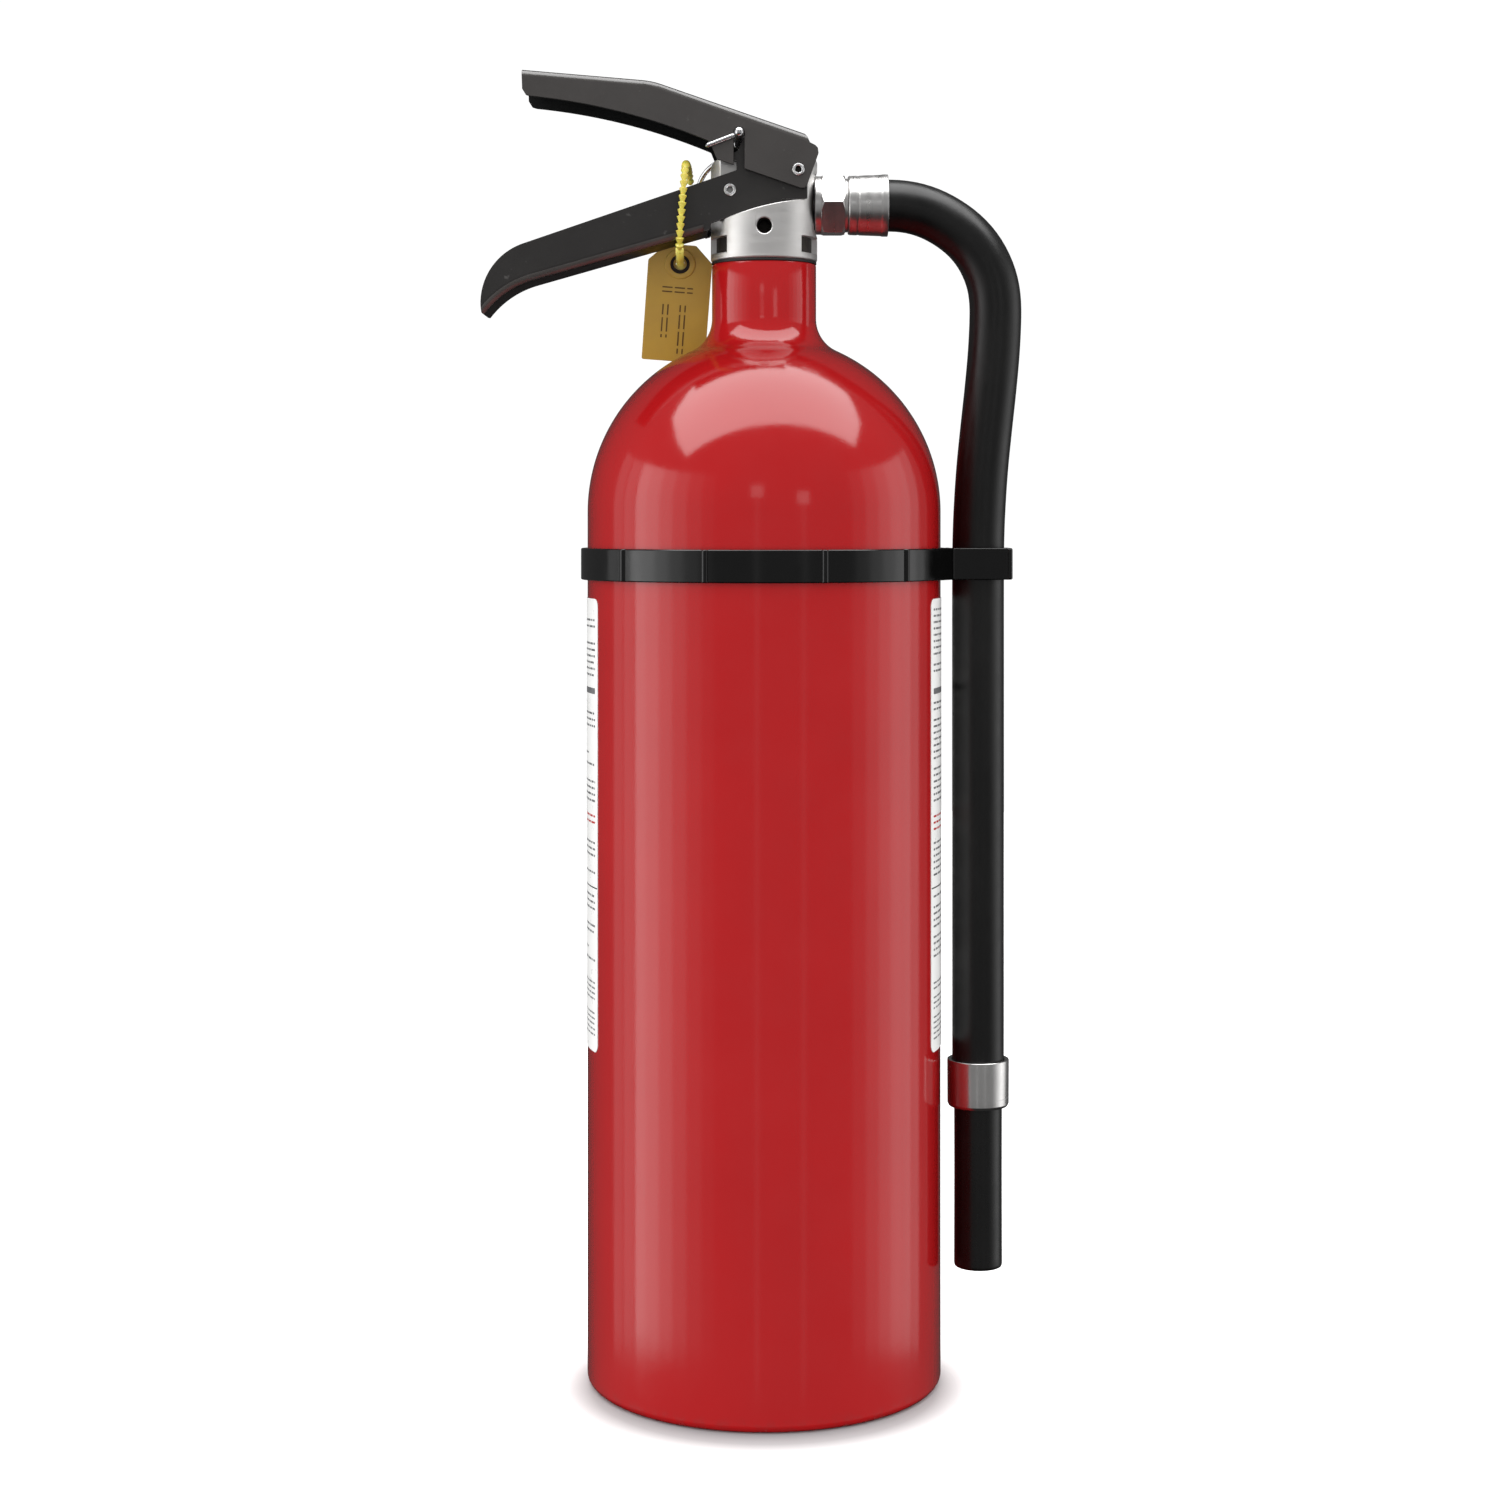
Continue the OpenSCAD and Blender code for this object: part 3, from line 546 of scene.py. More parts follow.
def soften(bm, width, angle=32, segments=2):
    """Rounds the sharp edges."""
    sharp = [e for e in bm.edges if len(e.link_faces) == 2 and e.calc_face_angle(0) > radians(angle)]
    bmesh.ops.bevel(bm, geom=sharp, offset=width, offset_type="OFFSET", segments=segments, profile=0.5,
        affect="EDGES", clamp_overlap=False)
    return bm


def joined(*shapes):
    bm = bmesh.new()
    for other in shapes:
        mesh = bpy.data.meshes.new("temp")
        other.to_mesh(mesh)
        other.free()
        bm.from_mesh(mesh)
        bpy.data.meshes.remove(mesh)
    return bm


def piece(name, bm, looks, nodes=(), angle=35, weighted=False, body=ROOT):
    """Makes an object of a shape, with its looks and its place in the frame."""
    for v in bm.verts:
        v.co *= MM
    obj = as_object(name, bm)
    mesh = obj.data
    for look in looks.split():
        mesh.materials.append(M[look])
    mesh.polygons.foreach_set("use_smooth", [True] * len(mesh.polygons))
    mesh.set_sharp_from_angle(angle=radians(angle))
    if weighted:
        mod = obj.modifiers.new("normals", "WEIGHTED_NORMAL")
        mod.keep_sharp = True
    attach(obj, body)
    if nodes:
        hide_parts(*nodes)
    return obj


def smooth_path(points, step):
    """A Catmull-Rom curve through the points, sampled about every step."""
    pts = [Vector(p) for p in points]
    pts = [pts[0] * 2 - pts[1]] + pts + [pts[-1] * 2 - pts[-2]]
    dense = []
    for i in range(1, len(pts) - 2):
        p0, p1, p2, p3 = pts[i - 1:i + 3]
        n = max(2, int((p2 - p1).length / (step * 0.25)))
        for k in range(n):
            t = k / n
            dense.append(0.5 * (2 * p1 + (p2 - p0) * t + (2 * p0 - 5 * p1 + 4 * p2 - p3) * t * t
                + (3 * p1 - p0 - 3 * p2 + p3) * t ** 3))
    dense.append(pts[-2])
    out, walked = [dense[0]], 0.0
    total = sum((b - a).length for a, b in zip(dense, dense[1:]))
    n = max(2, round(total / step))
    want = total / n
    for a, b in zip(dense, dense[1:]):
        length = (b - a).length
        while walked + length >= want * len(out) and len(out) < n:
            out.append(a.lerp(b, (want * len(out) - walked) / length))
        walked += length
    out.append(dense[-1])
    return out


def tube(path, radius, sides=32, side=(0, 1, 0)):
    """A tube along a path. radius is a number or a function of the length and the angle round it."""
    bm = bmesh.new()
    side = Vector(side)
    rows, walked = [], 0.0
    for i, p in enumerate(path):
        if i:
            walked += (p - path[i - 1]).length
        t = (path[min(i + 1, len(path) - 1)] - path[max(i - 1, 0)]).normalized()
        u = side.cross(t).normalized()
        v = t.cross(u)
        row = []
        for k in range(sides):
            a = 2 * pi * k / sides
            r = radius(walked, a) if callable(radius) else radius
            row.append(bm.verts.new(p + r * (cos(a) * u + sin(a) * v)))
        rows.append(row)
    grid(bm, rows)
    bm.faces.new(rows[0])
    bm.faces.new(rows[-1])
    face_out(bm)
    return bm


# ---- hose

def hose_pieces():
    path = smooth_path([(x, 0, z) for x, z in HOSE_ROUTE], 2.0)

    def skin(s, a):
        # a moulded cover: a faint flat down each side and shallow waves where it was bent
        return HOSE_R - 0.05 + 0.035 * cos(2 * a) + 0.03 * sin(s / 9.0) * sin(a)

    hose = piece("hose_tube", tube(path, skin, 48), "rubber", ["hose"], body=HOSE)

    z = 82.7
    ferrule = spun([(7.5, z), (8.9, z), (9.4, z + 0.9), (9.45, z + 14.4), (8.05, z + 14.4), (8.05, z + 7),
        (7.5, z + 7)], 0.35, 3)
    moved(ferrule, HOSE_X)
    ferrule = piece("hose_end_sleeve", ferrule, "ferrule_low", ["lower_ferrule"], body=HOSE)
    low = 33.6
    profile = [(5.4, low), (7.2, low), (7.35, low + 1), (7.3, low + 30), (7.35, 88.9), (3.0, 88.9),
        (3.0, low + 39), (5.4, low + 38)]
    nozzle = moved(spun(profile, 0.5, 4, 96), HOSE_X)
    nozzle = piece("discharge_tube", nozzle, "nozzle", ["nozzle"], body=HOSE)

    def placed(bm):
        return along_x(bm, 0, 0, NECK_TOP + PORT_Z)

    # a tight collar, a chamfered hexagon, and the neck that the sleeve is crimped on
    collar = placed(spun([(3.2, 6), (5.95, 6), (5.95, 15.3), (8.9, 15.5), (8.9, 17.5), (8.2, 17.6), (8.2, 25.6),
        (5, 25.6), (5, 30.5), (3.2, 30.5)], 0.25, 3, 96))
    hexagon = slab(arc(0, 0, 10.05, 30, 330, 5), 17.4, 24.7)
    turned_blank = lathe([(0, 17.4), (8.95, 17.4), (10.2, 18.35), (10.2, 23.75), (8.95, 24.7), (0, 24.7)])
    hexagon = soften(combine(hexagon, ("INTERSECT", turned_blank), cut(rod(7.6, 10, 30))), 0.16, 20, 2)
    placed(hexagon)
    piece("hose_coupling", joined(collar, hexagon), "ferrule", ["hex_coupling"], 30, True,
        body=HOSE)
    sleeve = spun([(5.05, 25.7), (8.75, 25.7), (9.02, 26.1), (9.1, 28.2), (9.0, 28.5), (9.0, 28.9), (9.12, 29.2),
        (9.35, 35.6), (9.5, 36.2), (9.5, 37.9), (8.05, 37.9), (8.05, 27.4), (5.05, 27.4)], 0.22, 3)
    piece("hose_crimp_sleeve", placed(sleeve), "ferrule", ["upper_ferrule"], body=HOSE)
    gasket = placed(spun([(6.4, 15.2), (8.6, 15.2), (8.6, 15.45), (6.4, 15.45)], 0.08, 2, 96))
    piece("port_gasket", gasket, "seal", ["coupling_gasket"])


# ---- cylinder, label and band

def vessel():
    fx = NECK_R + FILLET
    rise = sqrt((CYL_R + FILLET) ** 2 - fx * fx)
    touch = degrees(atan2(rise, fx))
    hollow = (44.0 ** 2 + 36.0) / 12.0
    half = degrees(asin(44.0 / hollow))
    outline = arc(0, 6 - hollow, hollow, 90, 90 - half, 20)
    outline += [(44.6, -0.0), (45.4, 0.0)]
    outline += arc(51.6, 2.4, 2.4, -90, 0, 10)
    outline += [(54, 30), (54, 70), (54, 130), (54, 190), (54, 240)]
    outline += arc(0, SHOULDER, CYL_R, 0, touch, 60)[:-1]
    outline += arc(fx, SHOULDER + rise, FILLET, 180 + touch, 180, 24)
    outline += [(NECK_R, 330), (NECK_R, 339.6), (NECK_R - 0.25, 340.1), (NECK_R - 0.6, NECK_TOP),
        (12.2, NECK_TOP), (11.9, 339.9), (11.9, 316.5)]
    outline += arc(0, SHOULDER, 52, 76.7, 0, 24)
    outline += [(52, 130), (52, 3.2), (51.8, 3.0), (48.5, 3.0)]
    outline += arc(0, 6 - hollow, hollow + 3, 90 - half, 90, 12)
    piece("painted_cylinder", lathe(outline, 256), "paint", ["cylinder_shell"])
    gasket = spun([(12.5, 0), (NECK_R + 0.12, 0), (NECK_R + 0.12, 0.7), (12.5, 0.7)], 0.12, 2)
    piece("neck_ring", moved(gasket, 0, 0, NECK_TOP), "seal", ["neck_gasket"])


LABEL_LOW, LABEL_HIGH, LABEL_ANGLE = 102.6, 238.4, 226.0
LABEL_R = CYL_R + 0.05
LABEL_HALF = radians(LABEL_ANGLE / 2) * LABEL_R


def on_cylinder(u, z, r):
    """A point at arc length u from the middle of the front, with u growing to the reader's right."""
    a = pi / 2 + u / LABEL_R
    return (r * cos(a), r * sin(a), z)


def wrapped(bm, outline, r, index, step=2.0):
    """A flat shape, cut into strips and wrapped round the cylinder."""
    us = [p[0] for p in outline]
    low, high = min(us), max(us)
    n = max(1, ceil((high - low) / step))
    flat = bmesh.new()
    flat.faces.new([flat.verts.new((u, 0, z)) for u, z in outline])
    for i in range(1, n):
        cut = low + (high - low) * i / n
        bmesh.ops.bisect_plane(flat, geom=flat.verts[:] + flat.edges[:] + flat.faces[:], plane_co=(cut, 0, 0),
            plane_no=(1, 0, 0))
    made = {}
    for f in flat.faces:
        corners = []
        for v in f.verts:
            if v not in made:
                made[v] = bm.verts.new(on_cylinder(v.co.x, v.co.z, r))
            corners.append(made[v])
        bm.faces.new(corners).material_index = index
    flat.free()


def box_outline(u0, z0, u1, z1, r=0.0):
    outline = [(u0, z0), (u1, z0), (u1, z1), (u0, z1)]
    return rounded(outline, r, 4) if r else outline


def label():
    sheet = rounded(box_outline(-LABEL_HALF, LABEL_LOW, LABEL_HALF, LABEL_HIGH), 2.6, 8)
    bm = bmesh.new()
    wrapped(bm, sheet, LABEL_R + 0.15, 0, 1.6)
    face_out(bm)
    rim = [e for e in bm.edges if e.is_boundary]
    grown = bmesh.ops.extrude_edge_only(bm, edges=rim)["geom"]
    for v in [v for v in grown if isinstance(v, bmesh.types.BMVert)]:
        r = hypot(v.co.x, v.co.y)
        v.co.x *= (LABEL_R - 0.01) / r
        v.co.y *= (LABEL_R - 0.01) / r
    piece("front_label", bm, "vinyl", ["label"], 50)

    red, black, grey, green, blue, white = range(6)
    r = LABEL_R + 0.165
    dice = random.Random(7)
    bm = bmesh.new()

    def ink(shape, colour, lift=0.0, step=2.0):
        outline = box_outline(*shape) if isinstance(shape, tuple) else shape
        wrapped(bm, outline, r + lift, colour, step)

    def lines(u0, u1, top, bottom, pitch, height, colour):
        """Rows of bars of uneven lengths, standing in for lines of small print."""
        z = top
        while z - height > bottom:
            u = u0
            last = dice.random() < 0.22
            end = u0 + (u1 - u0) * (dice.uniform(0.35, 0.8) if last else 1.0)
            while u < end - 0.6:
                w = min(dice.choice((1.6, 2.4, 3.4, 4.4, 5.6)), end - u)
                ink((u, z - height, u + w, z), colour, 0.0, 3.0)
                u += w + 0.8
            z -= pitch * (1.7 if last else 1.0)

    def draw(middle, colour, lift, *points):
        ink([(middle + x, z) for x, z in points], colour, lift)

    # centre panel: a red head with white bars, three plain class shapes, and three picture frames
    ink((-62, 206, 62, 233, 2), red)
    for u, w in ((-50, 26), (-20, 40), (26, 24)):
        ink((u, 216.5, u + w, 223.5, 1), white, 0.01)
    for u, w in ((-34, 30), (2, 32)):
        ink((u, 209.5, u + w, 212.3, 0.6), white, 0.01)
    ink([(-58, 188), (-44, 188), (-51, 200)], green)
    ink((-34, 188, -22, 200, 0.8), red)
    ink(arc(-6, 194, 6.2, 0, 350, 35), blue)
    lines(6, 62, 200.5, 187, 2.6, 1.3, black)
    for i, u in enumerate((-62, -20, 22)):
        ink((u, 146, u + 40, 183, 1.6), black)
        ink((u + 0.7, 146.7, u + 39.3, 182.3, 1.2), white, 0.01)
        if i == 0:  # a ring and an arrow
            ink(arc(u + 20, 166, 9, 0, 350, 35), grey, 0.02)
            ink(arc(u + 20, 166, 6.4, 0, 350, 35), white, 0.03)
            draw(u + 20, red, 0.04, (4, 158), (14, 151), (14, 155), (17, 149.5), (10, 149), (12.5, 150.5),
                (3, 157))
        elif i == 1:  # a low flame with a line aimed at it
            draw(u + 20, red, 0.02, (-14, 151), (2, 151), (-1, 159), (-4, 155), (-6, 166), (-10, 157), (-12, 160))
            draw(u + 20, grey, 0.02, (15, 174), (16.5, 172.5), (4, 158), (3, 160))
        else:  # a lever squeezed shut
            draw(u + 20, grey, 0.02, (-13, 160), (12, 166), (12, 163), (-12, 157))
            draw(u + 20, grey, 0.02, (-13, 176), (13, 169), (13, 166), (-12, 173))
            draw(u + 20, red, 0.03, (-6, 181), (-2, 181), (-2, 178), (0, 178), (-4, 174.5), (-8, 178), (-6, 178))
        lines(u + 3, u + 37, 143.5, 136, 2.5, 1.2, black)
    ink((-62, 127, 62, 132.5, 1), red)
    lines(-62, -2, 124.5, 107, 2.2, 0.9, grey)
    lines(2, 62, 124.5, 107, 2.2, 0.9, grey)
    # side columns of small print, up to a narrow margin, with a red row and a thin rule
    for side in (-1, 1):
        a, b = sorted((side * 67.5, side * (LABEL_HALF - 2.2)))
        lines(a, b, 235.5, 215, 1.9, 0.62, grey)
        ink((a, 209.8, b, 211.6, 0.5), grey)
        lines(a, b, 207.5, 176, 1.9, 0.62, grey)
        lines(a, b, 173.5, 168, 1.9, 0.62, red)
        lines(a, b, 165.5, 154.5, 1.9, 0.62, grey)
        ink((a - 2 * (side < 0), 151.6, b + 2 * (side > 0), 152.0), black)
        lines(a, b, 149.5, 128, 1.9, 0.62, grey)
        lines(a, b, 123.5, 106, 1.6, 0.5, grey)
    piece("label_print", bm, "ink_red ink_black ink_grey ink_green ink_blue vinyl", (), 50)


def band():
    inner, outer, low, high = CYL_R + 0.1, CYL_R + 2.0, BAND_Z - BAND_H / 2, BAND_Z + BAND_H / 2
    # half-round ribs, two degrees wide, at these angles from the wall side
    ribs, rib_height = (-162, -132, -48, -18, 18, 48, 132, 162), 0.8

    def lift(a):
        return max(rib_height * sqrt(max(0.0, 1.0 - ((a - rib + 180) % 360 - 180) ** 2)) for rib in ribs)

    steps = 1440
    rows = []
    bm = bmesh.new()
    for i in range(steps):
        deg = i * 360 / steps
        up = lift(deg)
        section = rounded([(inner, low), (outer + up, low), (outer + up, high), (inner, high)], 0.45, 3)
        rows.append(spoke(bm, section, radians(deg - 90)))
    grid(bm, rows, True)
    face_out(bm)

    gap, wall = 0.3, 1.5
    left, right = HOSE_X - HOSE_R - gap, HOSE_X + HOSE_R + gap
    front = -HOSE_R - gap
    a0 = radians(62)
    arm = slab([(outer * sin(a0), -outer * cos(a0)), (left, front - wall), (left, 4), (CYL_R + 0.6, 0.5),
        ((inner + 0.4) * sin(a0), -(inner + 0.4) * cos(a0))], low, high)
    cutter = lathe([(0, low - 5), (inner + 0.3, low - 5), (inner + 0.3, high + 5), (0, high + 5)], 256)
    outside = rounded([(left - wall, front - wall, 2.0), (right + wall, front - wall, 2.0),
        (right + wall, 7.2, 0.7), (right + 0.1, 7.2, 0.7), (right + 0.1, 0, 0), (right, front + 0.8, 0.8),
        (left + 0.6, front, 0.8), (left, 0, 0), (left - 0.1, 7.2, 0.7), (left - wall, 7.2, 0.7)], 0.3, 5)
    clip = slab(outside, low, high)
    body = combine(arm, ("UNION", clip), cut(cutter))
    soften(body, 0.35, 40, 3)
    # two small moulding beads at the clip's corners
    beads = []
    for x in (left - wall + 0.9, right + wall - 0.9):
        bead = spun([(0, low + 0.2), (0.9, low + 0.2), (0.9, high - 0.2), (0, high - 0.2)], 0.3, 3, 24)
        beads.append(moved(bead, x, front - wall + 0.75, 0))
    piece("clip_band", joined(bm, body, *beads), "band", ["hose_band"], 38, True)


# ---- valve

def ledge_at(x):
    return -127.3 + sqrt(148.0 ** 2 - (x - 35.3) ** 2)


def handle_low(x):
    return 9.3 + 0.285 * (x + 17.6)


def squeezed(p, degrees):
    a = radians(degrees)
    x, z = p[0] - PIVOT[0], p[1] - PIVOT[1]
    return (PIVOT[0] + x * cos(a) - z * sin(a), PIVOT[1] + x * sin(a) + z * cos(a))


def valve():
    arc_rod = along_y(lathe([(0, -20), (148, -20), (148, 20), (0, 20)], 720), 35.3, 0, -127.3)
    lower = combine(lathe([(0, 0.7), (VALVE_R - 0.5, 0.7), (VALVE_R, 1.2), (VALVE_R, 25.7), (0, 25.7)], 192),
        ("INTERSECT", arc_rod))
    r = 2.5
    outline = [(-VALVE_R - 1, ledge_at(-VALVE_R) - 4)]
    outline += [(17.5, ledge_at(-VALVE_R) - 4), (17.5, 31.3)]
    outline += arc(-VALVE_R + r, 31.3 - r, r, 90, 180, 8)
    block = combine(lathe([(0, 0), (VALVE_R, 0), (VALVE_R, 40), (0, 40)], 192), ("INTERSECT",
        prism(outline, -9.4, 9.4)))
    slots = []
    for start, end in ((-177, -134.5), (-45.5, -3), (9.5, 45.5), (134.5, 170.5)):
        ring = arc(0, 0, 14.4, start, end, 12) + arc(0, 0, 18.5, end, start, 12)
        slots.append(cut(slab(ring, 2.9, 7.8)))
    spigot = lathe([(7, -14), (11.3, -14), (11.85, -13.4), (11.85, 1), (7, 1)], 96)
    hanger = lathe([(0, -24), (5.6, -24), (2.1, -15.35), (2.1, -8.5), (0, -7.6)], 64)
    holes = [rod(7, -15, 5), rod(4, 4, 15), rod(5, 9, 22), rod(3.05, 20, 50),
        along_x(rod(6, 3, 20), 0, 0, PORT_Z), along_x(rod(9.9, 15.2, 20, 96), 0, 0, PORT_Z),
        along_y(rod(4.55, 7, 20), 0, 0, GAUGE_Z), along_y(rod(GAUGE_R + 0.4, GAUGE_BACK - 0.05, 20, 96), 0, 0,
        GAUGE_Z), along_y(hanger, 0, 0, 10.4)]
    body = combine(lower, ("UNION", block), ("UNION", spigot), *slots, *map(cut, holes))
    soften(body, 0.28, 34, 3)
    for f in body.faces:
        x, y, z = f.calc_center_median()
        in_hole = y < -5 and hypot(x, z - 10.4) < 2.35 and y > -15.9
        in_slot = 13 < hypot(x, y) < 14.6 and 2.5 < z < 8.1
        f.material_index = 1 if in_hole or in_slot else 0
    moved(body, 0, 0, NECK_TOP)
    piece("valve_casting", body, "valve bore", ["valve_body"], 32, True)

    stem = spun([(0, -3), (3, -3), (3, 0.6), (6, 0.6), (6, 2.6), (1.8, 2.6), (1.8, 21), (3.0, 21), (3.0, 26.2),
        (2.1, 26.2), (2.1, 27.4), (3.0, 27.4), (3.0, 39.6), (2.2, 40.5), (0, 40.8)], 0.2, 3, 64)
    piece("plunger", moved(stem, 0, 0, NECK_TOP), "rivet", ["valve_stem"], body="stem")

    def rivet(name, at, face, node):
        end = [(1.0, face - 2), (1.0, face + 0.3), (1.2, face + 0.5), (1.6, face + 0.5), (1.8, face + 0.28),
            (1.8, face), (1.4, face - 0.02)]
        profile = [(0, 2 - face)] + [(r, -z) for r, z in end] + end[::-1] + [(0, face - 2)]
        bm = lathe(profile, 48)
        for f in bm.faces:
            x, y, _ = f.calc_center_median()
            f.material_index = 1 if hypot(x, y) < 1.0 else 0
        piece(name, along_y(bm, at[0], 0, NECK_TOP + at[1]), "rivet bore", [node], 40)

    rivet("handle_tube_rivet", ANCHOR, HANDLE_W / 2, "handle_rivet")
    rivet("pivot_tube_rivet", PIVOT, LEVER_W / 2 + 0.3, "pivot_rivet")


# ---- handles

def channel(path, web, half, bend, depth):
    """A folded U of sheet metal along a line in the XZ plane, with web +1 where the web is left of the line."""
    inner = half - SHEET
    small = max(bend - SHEET, 0.3)
    section = [(-half, depth)] + arc(-half + bend, bend, bend, 180, 270, 6) + arc(half - bend, bend, bend, 270,
        360, 6)
    section += [(half, depth), (inner, depth)]
    section += arc(inner - small, SHEET + small, small, 360, 270, 4) + arc(-inner + small, SHEET + small, small,
        270, 180, 4)
    section += [(-inner, depth)]
    bm = bmesh.new()
    rows = []
    for i, p in enumerate(path):
        a, b = Vector(path[max(i - 1, 0)]), Vector(path[min(i + 1, len(path) - 1)])
        t = (b - a).normalized()
        n = Vector((-t.y, t.x)) * web
        rows.append([bm.verts.new((p[0] - n.x * d, y, p[1] - n.y * d)) for y, d in section])
    grid(bm, rows)
    bm.faces.new(rows[0])
    bm.faces.new(rows[-1])
    face_out(bm)
    return bm


def coat(bm, up, inner):
    """Picks each face's coat: rubbed folds above (1) or below (-1), and painted shade, a near-black coat, on the
    inner sides and underneath.
    """
    bm.normal_update()
    for f in bm.faces:
        side, lift = abs(f.normal.y), f.normal.z * up
        if 0.25 < side < 0.97 and lift > 0.2:
            f.material_index = 1
        elif f.normal.z < -0.5 or (side > 0.9 and abs(f.calc_center_median().y) < inner + 0.1):
            # faces that face down or inward get the painted shade coat
            f.material_index = 2


def cross_hole(r, at):
    return cut(along_y(rod(r, -20, 20, 32), at[0], 0, at[1]))


def handles():
    half = HANDLE_W / 2
    inner = half - SHEET
    # carrying handle: side outline
    top_tip = arc(-66.85, -12.47, 19, 189, 109, 24)
    low_tip = arc(-62.33, -32.58, 28, 106, 143, 18)
    ledge = [(x, ledge_at(x) + 0.1) for x in [13 - 1.45 * i for i in range(21)]]
    side = top_tip + [(-8.4, 28.3 + 0.3423 * (-8.4 + 6.5)), (-8.4, 30.3), (-13.4, 31.4), (-13.4, 38), (-2.6, 38),
        (-1.4, 31), (11, 31), (13, 29)] + ledge + [(-16.6, handle_low(-16.6))] + low_tip
    lead = arc(-62.33, -32.58, 28, 150, 106, 22)
    web = lead + [(x, handle_low(x)) for x in (-60, -50, -40, -30, -19.5, -6)]
    folded = combine(channel(web, -1, half, 2.7, 34), ("INTERSECT", prism(side)),
        cut(prism([(-17.5, -60), (60, -60), (60, 80), (-17.5, 80)])))
    cheeks = combine(prism(side, -half, half), cut(prism([(-120, -60), (-120, 60), (-18.2, 60), (-18.2, -60)])),
        cut(prism([(-20, -20), (20, -20), (20, 60), (-20, 60)], -inner, inner)))
    low = squeezed(PIN, 12)
    rise = Vector((PIN[0] - low[0], PIN[1] - low[1])).normalized()
    end = Vector(low)
    across = Vector((rise.y, -rise.x)) * 1.85
    far = end + rise * 9
    notch = [end - across, far - across, far + across, end + across]
    body = combine(folded, ("UNION", cheeks), cut(prism(notch)), cross_hole(1.9, low), cross_hole(1.45, PIVOT),
        cross_hole(1.45, ANCHOR))
    soften(body, 0.18, 35, 2)
    coat(body, -1, inner)
    piece("carrying_handle", moved(body, 0, 0, NECK_TOP), "black_low bend inside",
        ["carry_handle"], 32, True)

    # squeeze lever
    half = LEVER_W / 2
    top = [(-73.3, 58)] + arc(-39.2, 30, 25, 85.1, 71, 10) + [(12.3, 38.65)]
    first, last = Vector(top[0]) - Vector(top[1]), Vector(top[-1]) - Vector(top[-2])
    line = [Vector(top[0]) + first.normalized() * 6] + top + [Vector(top[-1]) + last.normalized() * 9]
    lower = arc(-89.4, -138.3, 189, 67.3, 84.3, 26)
    side = top + [(13.2, 37.3), (13.8, 35.8), (15.4, 35), (16.2, 34.2), (16.4, 32.6), (13, 23), (12.2, 22),
        (11, 22), (-14.3, 30.75)] + lower + [(-72, 50.2), (-73.1, 52)]
    raised = [(x, z + 0.02) for x, z in side]
    slot = [(PIN[0] - 1.65, 20), (PIN[0] - 1.65, PIN[1]), (PIN[0] + 1.65, PIN[1]), (PIN[0] + 1.65, 20)]
    body = combine(channel(line, 1, half, 2.2, 21), ("INTERSECT", prism(raised)), cut(prism(slot, -20, 0)),
        cross_hole(1.65, PIN), cross_hole(1.45, PIVOT))
    soften(body, 0.18, 35, 2)
    coat(body, 1, half - SHEET)
    piece("lever_channel", moved(body, 0, 0, NECK_TOP), "black bend inside", ["squeeze_lever"], 32,
        True, body="lever")

    # keeper wire on the near cheek: a short bar with turned-down ends
    a = radians(21)
    start = Vector((PIN[0] - 1.9, -half - 0.75, NECK_TOP + PIN[1] - 1.1))
    along = Vector((-cos(a), 0, -sin(a)))
    path = [start + Vector((0, 0.75, 0)), start + along * 0.25 + Vector((0, 0.2, 0)), start + along * 0.7]
    path += [start + along * 7.3, start + along * 7.9 + Vector((0, 0.2, 0)), start + along * 8.2
        + Vector((0, 0.7, 0))]
    bm = tube(smooth_path(path, 0.3), 0.68, 20, (0, 0.3, 1))
    piece("keeper_wire", bm, "wire", ["pin_keeper"], body="lever")


# ---- gauge

